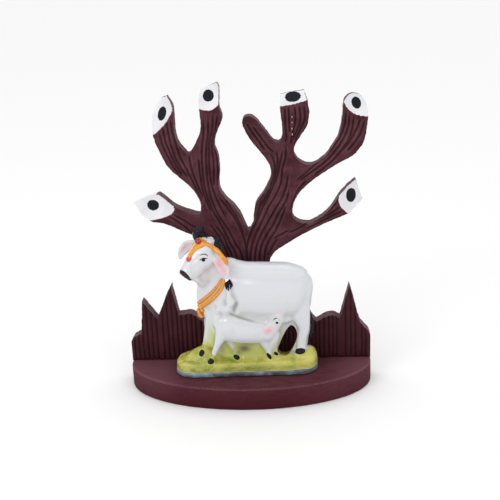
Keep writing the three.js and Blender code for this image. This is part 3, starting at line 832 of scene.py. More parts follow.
# "fillets" is how often the skin is softened; "detail", "pad" and "nose" are boxes in the head's frame: from
# and to along it, and half its width and depth; "curls" bounds the calf's tail in x and z and at its back
statuette = {
    "voxel": 0.75, "length": 134, "depth": 36, "middle": (-2, -19.6), "turn": 2.4, "rim": 5.5, "fillets": 22,
    "boardGap": 0.7, "foot": 0.3, "mainParts": ("body", "neck", "head"), "detail": (-2, 46, 30, 1000),
    "detailFrom": 92, "curls": ((-30, -8), (60, 90), -33), "pad": (-1000, 1000, 12, 14), "padFrom": 38,
    "padLength": 6, "padStretch": 0.8, "nose": (25, 50, 15, 15), "noseFrom": 36.2, "noseHalf": 7.4,
    "noseOut": 0.6, "rimWaves": [(0.5, 16, 21), (0.25, 5, 22)],
    "clods": [(0.24, 2.6, 32), (0.2, 1.5, 33), (0.22, 4.5, 34)], "blade": (0.22, 1.5, 31),
    "bladeTall": (1, 1, 0.3), "bladeFrom": (-6, 4), "bladeTop": (9, 12), "clodsLess": 0.6, "hoofRise": 0.25,
    "white": 0.85, "whiteFront": (-29.8, -31.6), "whiteFrom": (18, 23), "hollowSpread": 6,
    "hollowStrength": 30, "creaseShade": 0.42, "darkFrom": -0.4, "fill": 0.5, "bulge": 0.12,
    "detailKeeps": 0.35, "evenings": 2, "evened": 0.3,
    "sides": {"cow": (30, 20), "calf": (24, 18), "ear": 24, "mound": 30},
    "earHollow": {"nearEar": 1.2, "farEar": 1.1}, "turfIn": (-0.2, 0.8), "turfOut": (0, 5),
    "grainIn": (0, 1), "grainOut": (1, 4),
}

cow = {
    "body": [(-38, -21, 73, 8, 12), (-31, -21, 76, 11.5, 20.5), (-18, -21, 81.5, 13.5, 28.5),
        (0, -21, 79.8, 14.5, 28.3), (20, -21, 79, 15, 28.3), (38, -21, 79.5, 14.5, 27.3),
        (49, -21, 79.8, 12.5, 23), (54.6, -21, 79, 8, 15.5)],
    "neck": [(-16, -21, 84, 12, 22), (-24, -22, 94, 10, 18), (-30, -24, 104, 9, 14.5),
        (-33, -26, 114, 8.5, 12)],
    "dewlap": [(-39, -30, 98, 2.5, 5), (-38, -27, 88, 3, 6), (-38.5, -24, 76, 4, 7), (-37, -22, 64, 6, 6),
        (-33, -21, 56, 6, 6)],
    "hump": [(-24, -21, 103, 5, 6), (-14, -21, 104.5, 5.5, 8), (-4, -21, 101, 5, 6)],
    "head": [(-30, -26.5, 123.5, 7.8, 8.6), (-35, -30.5, 120.5, 9.8, 12.5), (-41, -34.5, 114, 8.7, 11.2),
        (-46.4, -38.3, 108.4, 7.2, 9.2), (-50, -40.6, 105.4, 7, 8), (-51.6, -41.6, 104.2, 5.8, 6.6)],
    "poll": [(-40, -26, 129.5, 5.5, 4.2), (-35, -26, 129.5, 4.5, 4.2), (-30, -27.5, 128, 4, 4.2),
        (-24.5, -30, 124.8, 3.8, 4)],
    "throat": [(-45, -38.5, 101, 4.6, 3.2), (-42, -35.5, 98, 5, 3.6), (-38.5, -30, 93, 5, 5)],
    "throatFold": [(-41, -34, 104, 4.5, 5), (-37, -30, 100, 5.5, 7), (-33, -26, 98, 6, 8)],
    "farEar": [(-45, -25, 128, 2.4, 3.4), (-51, -22.5, 125, 2.2, 5), (-56, -22.5, 119, 2, 4.2),
        (-58.5, -23, 113, 1.4, 1.6)],
    "nearEar": [(-25, -35, 122, 3, 3.5), (-20.6, -39, 115, 2.4, 5.6), (-17.2, -39.8, 107, 2.2, 5.3),
        (-15.2, -39.2, 99.8, 1.4, 2.4)],
    "nearFrontLeg": [(-30, -25, 62, 5, 8), (-35, -24, 45, 3.8, 5), (-38.5, -23, 30, 3.4, 4),
        (-42, -22.5, 15, 4, 4.6)],
    "farFrontLeg": [(-28, -16, 62, 5, 8), (-30, -15, 45, 3.8, 5), (-31, -14, 30, 3.4, 4),
        (-33, -14, 15, 4, 4.4)],
    "nearHindLeg": [(45.5, -24.5, 71, 6, 13), (50, -25, 54.5, 5, 8.5), (52, -25, 42.5, 3.8, 5.4),
        (50, -24.5, 31, 3.4, 4.8), (48.5, -24, 16, 4, 5)],
    "farHindLeg": [(35, -16, 64, 6, 9), (31, -16, 50, 4.4, 5), (26.5, -15.5, 36, 3.4, 3.8),
        (23, -15, 15, 3.8, 4.2)],
    "udder": [(27, -22, 55.5, 6, 6), (34, -22, 54, 8, 6.8), (40, -22, 55.5, 6, 6)],
    "rump": [(48, -21, 80, 10, 19), (53, -21, 80, 8.5, 15), (56.2, -21, 79.5, 5.5, 10)],
    "tail": [(51, -21, 99, 2.4, 3), (57.6, -20.5, 90, 2, 2.2), (58.8, -20, 80, 2, 2.2),
        (57.6, -19.5, 68, 2, 2.2), (56, -19.4, 60, 1.8, 2), (56.6, -19.2, 54, 1.5, 1.6)],
    "legBack": [(51.5, -22, 66, 5, 6), (52.2, -22, 59, 4.4, 4.4), (54, -22, 49, 4.2, 4.2),
        (54.2, -21.5, 41, 3.8, 3.8), (52.4, -21.5, 32, 3.6, 3.8), (51.6, -21.5, 24, 3.6, 3.6),
        (51.2, -21.5, 15, 3.6, 4)],
}

calf = {
    "body": [(-25, -33.5, 51, 4, 8), (-18, -33.5, 49.2, 6.2, 13), (-8, -33, 46.2, 6.6, 13),
        (4, -32, 43.6, 6.2, 11.8), (14, -31, 41.7, 5.4, 10), (20, -30, 40, 4, 7.5)],
    "neck": [(16, -30.5, 39, 5, 8), (21, -29.5, 45, 5.2, 8.2), (25, -29, 51, 5.2, 7.4)],
    "head": [(23, -29, 47, 5.2, 7), (27, -29, 53.5, 5.6, 7), (29.5, -28.5, 59.3, 4.8, 5),
        (30.5, -27, 63.2, 3.6, 3.4)],
    "nearEar": [(23, -33, 50.5, 1.8, 2.6), (19.5, -34.5, 47, 1.6, 3.2), (16, -35, 44.5, 1.1, 1.6)],
    "nearHindLeg": [(-20.6, -33.5, 49, 5, 8.8), (-25.4, -34.5, 37, 3.8, 4.6), (-30.6, -35, 25, 2.6, 2.7),
        (-35, -35, 12, 3, 3.3)],
    "farHindLeg": [(-17, -29, 41, 4, 6), (-16, -28.5, 31, 2.6, 3.6), (-12, -28, 22, 2.2, 2.6),
        (-10, -27.5, 13, 2.6, 2.8)],
    "chest": [(21.5, -28.5, 41, 4.4, 9), (20.8, -28.5, 34, 4, 8.4), (20.7, -28.5, 28.5, 3.3, 6.2),
        (21.3, -28, 24, 2.6, 4.2), (21.5, -27.5, 20, 2, 2.6)],
    "nearFrontLeg": [(13.5, -31, 39, 4, 6.5), (16.2, -30.5, 29, 2.6, 3.6), (19, -30, 22.5, 2.3, 2.6),
        (20, -29.5, 13, 2.4, 2.6)],
    "farFrontLeg": [(20, -27.5, 39, 4, 6), (25, -27.5, 30, 2.6, 3.6), (24.6, -26, 23, 2.3, 2.6),
        (25.5, -24, 13, 2.5, 2.8)],
    "tail": [(-20, -33.5, 60, 2.4, 2.6), (-15.5, -34.5, 65, 2.6, 3), (-13.4, -35.5, 73, 2.6, 3),
        (-14.2, -36, 81, 2, 2.2), (-14.8, -36, 88, 1.5, 1.6)],
    "tailBall": [(-13.8, -36.4, 71.8, 3, 3.2), (-13.2, -36.8, 75.4, 3.4, 4.4), (-14, -36.8, 79.2, 2.4, 3)],
    "tailCurl": [(-19.6, -35, 64.6, 2.4, 2.4), (-17.4, -36.2, 67.4, 3, 3.2), (-17.8, -36.2, 69.6, 2.2, 2.6)],
    "hipCurl": [(-26.5, -33, 64.5, 2.6, 2.6), (-23.6, -34.2, 68.6, 3, 3.2), (-22.4, -34.2, 72.6, 2.4, 2.6)],
}

# The web under the two bellies, its foot, the folds where bodies meet, and the low dome of the ground
mound = {
    "web": [(-37, -18, 34, 4, 20), (-20, -18, 36, 5, 22), (0, -18, 36, 5.5, 22), (20, -17.5, 36, 5, 22),
        (34, -17, 36, 4, 22), (45, -17, 38, 3.5, 18)],
    "webFoot": [(-26, -22, 22, 5, 12), (-10, -22, 22, 7.5, 17), (8, -22, 22, 7.5, 17), (20, -21, 21, 6, 14),
        (28, -19, 18, 4, 8)],
    "bellyFold": [(-14, -27, 60, 4, 5), (0, -27, 56, 4.5, 5.5), (12, -27, 52, 4.5, 6), (22, -27, 52, 4, 6)],
    "rumpFold": [(-27, -29, 68, 4, 5), (-25.5, -30.5, 60, 4.5, 5), (-26.5, -31, 51, 4, 5)],
    "tailFold": [(-24, -31, 74, 4, 5), (-20, -32, 69, 4, 5), (-14, -31.5, 66, 4, 5),
        (-8, -31, 62, 3.5, 4.5)],
    "chestFold": [(-30, -25, 66, 5, 6), (-29, -26, 54, 5.5, 6), (-30, -25, 42, 5, 6), (-32, -23, 28, 5, 6)],
    "dome": [(-58, -21, 7.5, 10, 7.5), (-53, -21, 9, 12, 9.5), (-47, -20.5, 11, 12.5, 11),
        (-41, -20, 12, 12.5, 12.3), (-34, -20, 11, 13, 11.5), (-26, -20.5, 9, 15, 9),
        (0, -20, 9, 15.5, 8.5), (40, -18.5, 9, 15, 8.5), (50, -18, 10.5, 12.5, 10.5),
        (57, -18, 12, 9, 10.4)],
}

# The ground's section from its foot up: inset from the outline, and height
groundProfile = [(0.5, 0.3), (0.1, 0.6), (0, 1.2), (0, 4.3), (0.25, 5), (0.8, 5.5), (1, 6), (0.8, 7),
                 (0.8, 9.5), (1, 11.2), (1.6, 12.6), (2.6, 13.5), (4, 14), (9, 14.2), (15, 14.3)]

# How high the turf reaches along the statuette
turfLimit = {"at": (-70, -62, -56, -50, -44, -36, -28, -20, 44, 50, 60, 70),
             "top": (16, 19, 24, 27, 27, 24, 18, 14.5, 14.5, 18.5, 20, 20)}

# The opening beside the near hind leg as seen from the front, and how far it falls for each millimetre back
legOpening = {"outline": [(40.2, 44.8), (35.7, 39), (31.6, 31), (28, 22.2), (27.4, 17.6), (30.2, 14.6),
              (34.6, 13.8), (38.6, 16.4), (42.2, 22.8), (45.3, 30.7), (45.5, 36.3), (43.8, 41.2)],
              "fall": 0.35, "reach": (-28, 6)}


# The ground: rings of a long outline with round ends, each with its own inset and height
def groundShape():
    turn = np.linspace(-quarterTurn, quarterTurn, 60)
    half, r = statuette["length"] / 2 - statuette["depth"] / 2, statuette["depth"] / 2
    middleX, middleY = statuette["middle"]
    rings = []
    for inset, z in groundProfile:
        c, s = (r - inset) * np.cos(turn), (r - inset) * np.sin(turn)
        x, y = turned(np.r_[half + c, -half - c], np.r_[s, -s], -statuette["turn"])
        rings.append(np.column_stack([x + middleX, y + middleY, np.full(len(x), z)]))
    return closedTube(np.stack(rings))


def openingShape():
    ring = smoothThrough(legOpening["outline"] + legOpening["outline"][:1], 4)[:-1]
    rings = []
    for y in np.linspace(*legOpening["reach"], 8):
        drop = legOpening["fall"] * (y - statuette["middle"][1])
        rings.append(np.column_stack([ring[:, 0], np.full(len(ring), y), ring[:, 1] - drop]))
    return closedTube(np.stack(rings))


# One skin over all the shapes, on a grid of cubes
def oneSkin(vertices, faces, cutter=None):
    shape = newObject("statuette", vertices, faces)
    if cutter:
        cutWith(shape, cutter, "DIFFERENCE")
    skin = shape.modifiers.new("skin", "REMESH")
    skin.mode = "VOXEL"
    skin.voxel_size = statuette["voxel"] * 0.001
    result = worked(shape)
    bpy.data.objects.remove(shape)
    return result


def meshArrays(mesh):
    quads = readRows(mesh.loops, "vertex_index", 1, np.int64).reshape(-1, 4)
    return vertexArray(mesh), readRows(mesh.edges, "vertices", 2, np.int64), quads


# The sum of the neighbours' values, and the neighbours' mean place
def spread(values, edges, n):
    return np.bincount(edges[:, 0], values[edges[:, 1]], n) + np.bincount(edges[:, 1], values[edges[:, 0]], n)


def neighbourMean(v, edges, degree):
    return np.stack([spread(column, edges, len(v)) for column in v.T], 1) / degree[:, None]


def pointNormals(v, quads):
    face = np.cross(v[quads[:, 2]] - v[quads[:, 0]], v[quads[:, 3]] - v[quads[:, 1]])
    sums = [sum(np.bincount(quads[:, k], column, len(v)) for k in range(4)) for column in face.T]
    return unit(np.stack(sums, 1))


# Each round moves a point towards its neighbours' mean: far where the surface is hollow, which fills the
# joins with soft fillets, a little where it bulges, and less where there is detail. The last rounds move all
# points alike
def soften(v, edges, quads, degree, detail):
    for _ in range(statuette["fillets"]):
        step = neighbourMean(v, edges, degree) - v
        lift = (step * pointNormals(v, quads)).sum(1)
        share = np.where(lift > 0, statuette["fill"], statuette["bulge"])
        share = share * np.where(detail, statuette["detailKeeps"], 1.0)
        v = v + step * share[:, None]
    for _ in range(statuette["evenings"]):
        v = v + statuette["evened"] * (neighbourMean(v, edges, degree) - v)
    return v


# The head's own frame: s runs from the poll to the muzzle, t to the near side and n out of the forehead
headFrame = {"poll": np.array([-30.0, -27, 129]), "s": np.array([-0.597, -0.411, -0.690]),
             "t": np.array([0.57, -0.82, 0]), "n": np.array([-0.566, -0.393, 0.724])}


def headPlace(points):
    q = points - headFrame["poll"]
    return q @ headFrame["s"], q @ headFrame["t"], q @ headFrame["n"]


def inHead(place, low, high, across, out):
    s, t, n = place
    return (s > low) & (s < high) & (np.abs(t) < across) & (np.abs(n) < out)


# The same place on the head's other side
def otherSide(points):
    t = (points - headFrame["poll"]) @ headFrame["t"]
    return points - 2 * t[:, None] * headFrame["t"]


# Soft bumps and dents on both sides of the head: the height, the middle along, across and out, and the size
headLumps = {
    "brow": (0.9, 12.5, 7.5, 5, 3.6), "eyeball": (0.75, 17, 8.6, 0.4, 2.6), "cheek": (0.7, 13, 8.5, -7, 6),
    "hollow": (-0.7, 27, 7.2, 0.5, 5), "nose": (0.6, 36, 6.3, 2.5, 3.2),
    "nostril": (-1.1, 38.6, 4.6, 3.2, 1.4), "jaw": (-0.5, 21.5, 7.6, -8, 3.5),
}
mouth = {
    "depth": 0.55, "out": 3.6, "rise": 0.1, "corner": 38, "half": 0.9, "from": (27, 33),
    "zone": (-6, 46, 14, 18),
}


def headRelief(v):
    s, t, n = headPlace(v)
    lift = 0
    for height, along, across, out, size in headLumps.values():
        away = (s - along) ** 2 + (np.abs(t) - across) ** 2 + (n - out) ** 2
        lift = lift + height * np.exp(-away / size ** 2)
    line = (n + mouth["out"] - mouth["rise"] * (mouth["corner"] - s)) / mouth["half"]
    lift = lift - mouth["depth"] * (np.exp(-line ** 2) * smoothStep(*mouth["from"], s))
    return np.where(inHead((s, t, n), *mouth["zone"]), lift, 0)


# Swells and folds of the bodies: the height, the middle, and the reach along and up
bodySwells = {
    "shoulder": (0.9, (-22, -34, 82), 8, 15), "shoulderFold": (-0.6, (-11.5, -35, 76), 2.6, 13),
    "thigh": (0.8, (47, -33, 76), 9, 13), "flankFold": (-0.5, (36.5, -35, 64), 2.6, 10),
    "hip": (0.6, (53, -31, 96), 4.5, 4.5), "calfHaunch": (0.5, (-19, -39, 51), 6, 7),
    "calfFlankFold": (-0.5, (-11.8, -39, 47), 2, 8), "calfShoulderFold": (-0.45, (11.5, -37, 42), 2, 7),
}
swellDepth, swellFacing = 9, 0.2
bodyWaves = [(0.05, 14.0, 41), (0.04, 6.0, 42)]


def bodyRelief(v, normals):
    lift = waves(v, bodyWaves)
    for height, (x, y, z), along, up in bodySwells.values():
        away = ((v[:, 0] - x) / along) ** 2 + ((v[:, 2] - z) / up) ** 2 + ((v[:, 1] - y) / swellDepth) ** 2
        lift = lift + height * np.exp(-away) * (normals[:, 1] < swellFacing)
    return lift


# How far inside an ellipse a point is, seen along the line of sight, in millimetres; only close to its middle
def seenSpot(v, middle, a, b, tilt, within=5.0):
    right, up, back, _ = viewAxes()
    d = v - middle
    x, y = turned(d @ right, d @ up, tilt)
    share = 1 - np.sqrt((x / a) ** 2 + (y / b) ** 2)
    return np.where(np.abs(d @ back) < within, share * min(a, b), farOff)


# Black hooves: the spot's middle in the picture, its half width, half height and tilt in millimetres and
# degrees; the hidden ones have a middle on the figure, and reach so far across and up
hooves = {
    "cow": [((201.8, 353.2), 2.5, 3.3, -20), ((300.2, 351.2), 4.9, 3.1, 8)],
    "calf": [((210.6, 361.4), 3.3, 2.9, 10), ((236.6, 357.2), 3.3, 2.4, -32),
        ((269.2, 356.2), 1.5, 3.6, 32), ((275.9, 353.6), 2.6, 1.4, -40)],
    "hidden": [((-35.5, -5, 14.5), 4, 3.4), ((22, -7.5, 14.5), 4, 3.4)],
}

# The dark pad of the cow's muzzle, in the same terms as a hoof
muzzlePad = {"middle": (184, 275.4), "size": (6.7, 2.9, -41)}

# Sprayed colour: where, how far it reaches across and up, and how strong it is
sprays = {
    "green": [((-31, -25, 37), 6, 18, 1.1), ((-37, -25, 27), 8, 8, 0.9), ((-6, -24, 20), 26, 17, 1.15),
        ((14, -24, 22), 14, 13, 1), ((24, -22, 18), 9, 12, 0.7), ((34, -20, 16), 8, 8, 0.45),
        ((46, -20, 24), 5, 12, 0.45), ((32, -14, 42), 4, 9, 0.4), ((0, -14, 30), 40, 16, 0.8),
        ((-30, -14, 30), 9, 20, 0.7)],
    # Brown tints; the last, wide one darkens the web under the bellies as painted shade
    "brown": [((-3.6, -28, 25.5), 6.2, 3.8, 1.1), ((-8.2, -27.5, 22), 3.6, 3.6, 0.9),
        ((-24.5, -28, 25), 3.5, 6, 0.45), ((0, -27, 30), 9, 3, 0.6), ((12, -26, 27), 6, 3, 0.3),
        ((-1, -26, 24), 20, 9, 0.12)],
    "pink": [((-21, -41, 113.5), 4.5, 6, 0.85), ((-18, -42, 106), 4.5, 6.5, 0.6),
        ((-52, -25, 122), 5, 6.5, 0.5), ((19.6, -37, 46.2), 4.4, 4, 0.8), ((-30, -38, 104), 9, 7, 0.16),
        ((29, -33, 61), 4, 4, 0.15), ((-26, -40, 101), 5, 4, 0.2)],
    # Darker turf green: a lower band along the front, and painted shade under the bellies
    "deep": [((4, -37, 8), 20, 5, 0.85), ((-12, -37, 8), 14, 5, 0.5), ((36, -36, 8), 10, 3, 0.4),
        ((-40, -38, 8), 12, 3.5, 0.35), ((-2, -26, 24), 17, 9, 0.35), ((-52, -30, 12), 4, 3, 0.3),
        ((50, -33, 10), 5, 3, 0.3)],
    # Painted highlights on the rim, at its two ends and a glint at the front
    "rimHighlight": [((-66, -26, 3), 7, 5, 1), ((-54, -36, 4.4), 4, 1.5, 0.5), ((8, -37, 4), 9, 1.6, 0.25),
        ((62, -26, 4), 6, 4, 0.4)],
    "pale": [((-14.5, -31.5, 28), 3, 9, 0.6), ((-12, -30.5, 21), 2.6, 6, 0.5)],
    # Painted shade under the cow's belly along the calf's back, and under the near ear
    "shade": [((-4, -32, 62), 14, 4, 0.7), ((8, -31, 58), 14, 4, 0.7), ((18, -31, 55), 10, 4, 0.6),
        ((-30, -36, 99), 9, 4, 0.4)],
}


def sprayed(v, colour):
    total = np.zeros(len(v))
    for middle, across, high, amount in sprays[colour]:
        d = (v - middle) / (across, across, high)
        total = np.maximum(total, amount * np.exp(-(d * d).sum(1)))
    return total


# Creases that part the calf's back and its tail from the cow, as lines in the picture, with half the width
# and the depth in millimetres
creases = [
    ([(227, 313.2), (231.4, 314.4), (237, 316.4), (244, 318.4), (250, 320.2), (256, 322), (264, 324.4)],
     1.05, 0.9),
    ([(234.6, 314), (234.6, 309), (236.8, 304.4), (237, 299)], 1.2, 0.7),
]
creaseFront = -27
creaseEnds = ((0, 0.2), (1, 0.6))


# How near a point is to the creases, as seen, from nought to one; only on the parts that stand in front
def creaseShare(v):
    right, up, back, eye = viewAxes()
    d = v - eye
    pixel = -(d @ back) / view["focal"]
    x, y = view["middle"] + (d @ right) / pixel, view["middle"] - (d @ up) / pixel
    share, sunk = np.zeros(len(v)), np.zeros(len(v))
    for line, width, deep in creases:
        path = smoothThrough(line, 6)
        for k, (a, b) in enumerate(zip(path[:-1], path[1:])):
            t, away = nearLine(x, y, a, b)
            along = (k + t) / (len(path) - 1)
            ends = smoothStep(*creaseEnds[0], along) * smoothStep(*creaseEnds[1], along)
            value = np.exp(-(away * pixel / width) ** 2) * ends * (v[:, 1] < creaseFront)
            share, sunk = np.maximum(share, value), np.maximum(sunk, value * deep)
    return share, sunk


# All the limbs, folds and the ground as one skin, with the opening beside the hind leg cut out
def statuetteSkin():
    main, sides, hollows = (statuette[k] for k in ("mainParts", "sides", "earHollow"))
    shapes = [limb(s, sides["cow"][k not in main]) for k, s in cow.items() if k not in hollows]
    shapes += [limb(cow[ear], sides["ear"], hollow=hollow) for ear, hollow in hollows.items()]
    shapes += [limb(s, sides["calf"][k not in main]) for k, s in calf.items()]
    shapes += [limb(s, sides["mound"]) for s in mound.values()] + [groundShape()]
    v, _, quads = meshArrays(oneSkin(*gathered(shapes)))
    cutter = newObject("cutter", *openingShape())
    mesh = oneSkin(v, quads.tolist(), cutter)
    bpy.data.objects.remove(cutter)
    return mesh


# The skin softened, with the muzzle drawn out, the relief and the creases
def modelled(v, edges, quads, degree):
    (left, right), (low, high), front = statuette["curls"]
    curls = (v[:, 1] < front) & (v[:, 0] > left) & (v[:, 0] < right) & (v[:, 2] > low) & (v[:, 2] < high)
    detail = inHead(headPlace(v), *statuette["detail"]) & (v[:, 2] > statuette["detailFrom"])
    v = soften(v, edges, quads, degree, detail | curls)
    place = headPlace(v)
    pad = np.clip(place[0] - statuette["padFrom"], 0, statuette["padLength"]) * statuette["padStretch"]
    v = v - (pad * inHead(place, *statuette["pad"]))[:, None] * headFrame["s"]
    normals = pointNormals(v, quads)
    crease, sunk = creaseShare(v)
    return v + normals * (headRelief(v) + bodyRelief(v, normals) - sunk)[:, None], crease


# How far inside the black of the hooves and the dark of the muzzle each point lies
def darkPaint(v):
    black = np.full(len(v), farOff)
    for pixel, *size in hooves["cow"] + hooves["calf"]:
        black = np.maximum(black, seenSpot(v, nearestSeen(v, pixel), *size))
    for middle, across, high in hooves["hidden"]:
        away = np.linalg.norm((v - middle) / (across, across, high), axis=1)
        black = np.maximum(black, (1 - away) * across)
    place = headPlace(v)
    pad = (nearestSeen(v, muzzlePad["middle"]), *muzzlePad["size"])
    blunt = np.minimum(place[0] - statuette["noseFrom"],
                       statuette["noseHalf"] - np.abs(place[2] - statuette["noseOut"]))
    nose = np.maximum(np.maximum(seenSpot(v, *pad), seenSpot(otherSide(v), *pad)), blunt)
    return black, np.where(inHead(place, *statuette["nose"]), nose, farOff)


# From nought to one between two heights over a level
def risen(level, name, z):
    low, high = statuette[name]
    return smoothStep(level + low, level + high, z)


def makeStatuette(materials):
    mesh = statuetteSkin()
    v, edges, quads = meshArrays(mesh)
    print("statuette skin has", len(v), "points")
    degree = np.bincount(edges.ravel(), minlength=len(v)).astype(float)
    v, crease = modelled(v, edges, quads, degree)
    normals = pointNormals(v, quads)
    black, nose = darkPaint(v)
    hoof = np.clip(black + 1.0, 0, 1)

    rimTop = statuette["rim"] + waves(v * (1, 1, 0), statuette["rimWaves"])
    top = np.interp(v[:, 0], turfLimit["at"], turfLimit["top"])
    turf = risen(rimTop, "turfIn", v[:, 2]) * (1 - risen(top, "turfOut", v[:, 2]))
    kept = statuette["white"] * smoothStep(*statuette["whiteFront"], v[:, 1])
    kept = np.maximum(kept * smoothStep(*statuette["whiteFrom"], v[:, 2]), sprayed(v, "pale"))
    green = np.maximum(turf, sprayed(v, "green") * (1 - kept) * (v[:, 2] > rimTop))
    grain = risen(rimTop, "grainIn", v[:, 2]) * (1 - risen(top, "grainOut", v[:, 2]))
    flat = smoothStep(*statuette["bladeFrom"], v[:, 0]) * (1 - smoothStep(*statuette["bladeTop"], v[:, 2]))
    flat = flat * (normals[:, 1] < 0)
    blades = waves(v * statuette["bladeTall"], [statuette["blade"]])
    rough = waves(v, statuette["clods"]) * (1 - statuette["clodsLess"] * flat) + blades * flat
    v = v + normals * (grain * (1 - hoof) * rough)[:, None]
    v = v + normals * (hoof * statuette["hoofRise"] * (black > -1))[:, None]
    v[:, 1] = np.minimum(v[:, 1], -statuette["boardGap"])
    v[:, 2] = np.maximum(v[:, 2], statuette["foot"])
    mesh.vertices.foreach_set("co", toFrame(v).ravel())
    mesh.update()

    # Painted shade: darker where the skin is hollow, and where the shade sprays lie
    hollow = ((neighbourMean(v, edges, degree) - v) * normals).sum(1)
    for _ in range(statuette["hollowSpread"]):
        hollow = spread(hollow, edges, len(v)) / degree
    hollow = np.clip(np.maximum(hollow * statuette["hollowStrength"], sprayed(v, "shade")), 0, 1)
    mesh.materials.clear()
    for material in materials:
        mesh.materials.append(material)
    dark = np.maximum(black, nose)[quads].max(1) > statuette["darkFrom"]
    mesh.polygons.foreach_set("material_index", dark.astype(np.int32))
    piece = bpy.data.objects.new("cow_and_calf_statuette", mesh)
    bpy.context.scene.collection.objects.link(piece)
    setAttributes(mesh, {name: sprayed(v, name) for name in ("deep", "rimHighlight", "pink")})
    # The brown also carries painted shade along the creases
    setAttributes(mesh, {"rim": limited(rimTop - v[:, 2]), "green": green, "grain": grain * (1 - hoof),
                         "brown": np.maximum(sprayed(v, "brown"), statuette["creaseShade"] * crease),
                         "black": limited(black), "nose": limited(nose), "hollow": hollow})
    mesh.shade_smooth()
    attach(piece, "root")
    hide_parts("cow_and_calf")
    return v, quads


enamel = {
    "white": (0.69, 0.7, 0.735), "faint": (0.65, 0.67, 0.68), "shade": (0.47, 0.48, 0.44),
    "rim": (0.07, 0.08, 0.085), "rimPale": (0.33, 0.42, 0.52), "turf": (0.6, 0.56, 0.11),
    "turfPale": (0.56, 0.54, 0.1), "turfDark": (0.2, 0.25, 0.006), "web": (0.56, 0.6, 0.12),
    "brown": (0.11, 0.085, 0.014), "rimHighlight": (0.44, 0.455, 0.47), "pink": (0.86, 0.34, 0.38),
    "black": (0.006, 0.006, 0.008), "nose": (0.022, 0.01, 0.008), "noseRubbedAndSheen": (0.105, 0.066, 0.05),
}

# The enamel's numbers, in the same terms as the woods'
enamelLook = {
    "noise": (45, 700, (300, 300, 900)), "faintAt": (0.35, 0.75), "faint": 0.1, "paintedShade": 0.6,
    "speckle": (0.3, -0.15), "greenAt": (0.05, 0.85), "turfAt": (0.38, 0.66), "turfPaleAt": (0.5, 0.7),
    "rimSoft": 0.25, "waterAt": (0.4, 0.7), "ragged": (0.8, -0.4, 0.1), "rubbedAndSheenAt": (0.5, 0.64),
    "rubbedAndSheen": 0.7, "roughness": (0.12, 0.14), "coatRoughness": 0.06, "grainBump": (0.55, 0.0007),
    "broadBump": (0.08, 0.0008),
}


# Glossy enamel: white with sprayed green, brown and pink, painted shade in the hollows, creases and under the
# bellies, a blue-grey rim with painted highlights, and crisp black and brown paint with painted highlights on
# the muzzle
def makeEnamel(name, specular, coat):
    material, shader = newMaterial(name)
    look = enamelLook
    noise = mottle(*look["noise"])
    broad, fine, grain = noise["Broad"], noise["Fine"], mask("grain")
    turf = layered(enamel["turf"], (ramp(broad, *look["turfAt"]), enamel["turfDark"]),
                   (ramp(fine, *look["turfPaleAt"]), enamel["turfPale"]))
    spray = layered(enamel["web"], (grain, turf), (mask("deep"), enamel["turfDark"]))
    # The rim: blue-grey, paler in patches, with painted highlights
    water = layered(enamel["rim"], (ramp(broad, *look["waterAt"]), enamel["rimPale"]),
                    (mask("rimHighlight"), enamel["rimHighlight"]))
    # The muzzle: dark, with paler spots that are partly rubbed paint and partly painted highlights
    rubbedAndSheen = times(ramp(noise["Streak"], *look["rubbedAndSheenAt"]), look["rubbedAndSheen"])
    muzzle = layered(enamel["nose"], (rubbedAndSheen, enamel["noseRubbedAndSheen"]))
    sprayedAt = ramp(mathNode("ADD", mask("green"), scaled(fine, *look["speckle"])), *look["greenAt"])
    colour = layered(enamel["white"], (times(ramp(broad, *look["faintAt"]), look["faint"]), enamel["faint"]),
                     (times(mask("hollow"), look["paintedShade"]), enamel["shade"]), (mask("pink"), enamel["pink"]),
                     (sprayedAt, spray), (mask("brown"), enamel["brown"]),
                     (ramp(mask("rim"), -look["rimSoft"], look["rimSoft"]), water),
                     (raggedMask("black", fine, *look["ragged"]), enamel["black"]),
                     (raggedMask("nose", fine, *look["ragged"]), muzzle))
    normal = bumped((times(fine, grain), *look["grainBump"]), (broad, *look["broadBump"]))
    giveAll(shader, Base_Color=colour, Roughness=scaled(grain, *look["roughness"]), Normal=normal,
            Specular_IOR_Level=specular, Coat_Weight=coat, Coat_Roughness=look["coatRoughness"],
            Coat_Normal=normal)
    return material


# The paints of the details: two colours mottled together, and how they shine
gloss = {
    "blackEnamel": {"deep": (0.004, 0.004, 0.006), "pale": (0.012, 0.011, 0.02), "roughness": 0.12,
        "fine": 300, "height": 0.0002, "specular": 0.16, "coat": 0.1},
    "goldPaint": {"deep": (0.66, 0.23, 0.018), "pale": (0.88, 0.4, 0.06), "roughness": 0.28, "metal": 0.25,
        "fine": 1100, "height": 0.0004, "coat": 0.3},
    "paleGold": {"deep": (0.82, 0.44, 0.1), "pale": (0.93, 0.72, 0.36), "roughness": 0.25, "fine": 900},
    "redPaint": {"deep": (0.56, 0.03, 0.022), "pale": (0.7, 0.07, 0.05), "roughness": 0.2, "fine": 400},
    "jewelPaint": {"deep": (0.28, 0.004, 0.005), "pale": (0.42, 0.012, 0.01), "roughness": 0.12,
        "fine": 400, "coat": 0.3},
    "whiteLocks": {"deep": (0.6, 0.61, 0.64), "pale": (0.69, 0.7, 0.735), "roughness": 0.16, "fine": 300,
        "height": 0.0001},
    "palePaintChips": {"deep": (0.42, 0.34, 0.36), "pale": (0.62, 0.56, 0.58), "roughness": 0.7,
        "fine": 500, "coat": 0},
}


glossLook = {
    "broad": 160, "stretch": (500, 500, 500), "mottled": (0.36, 0.64), "bump": 0.5, "coatRoughness": 0.05,
}


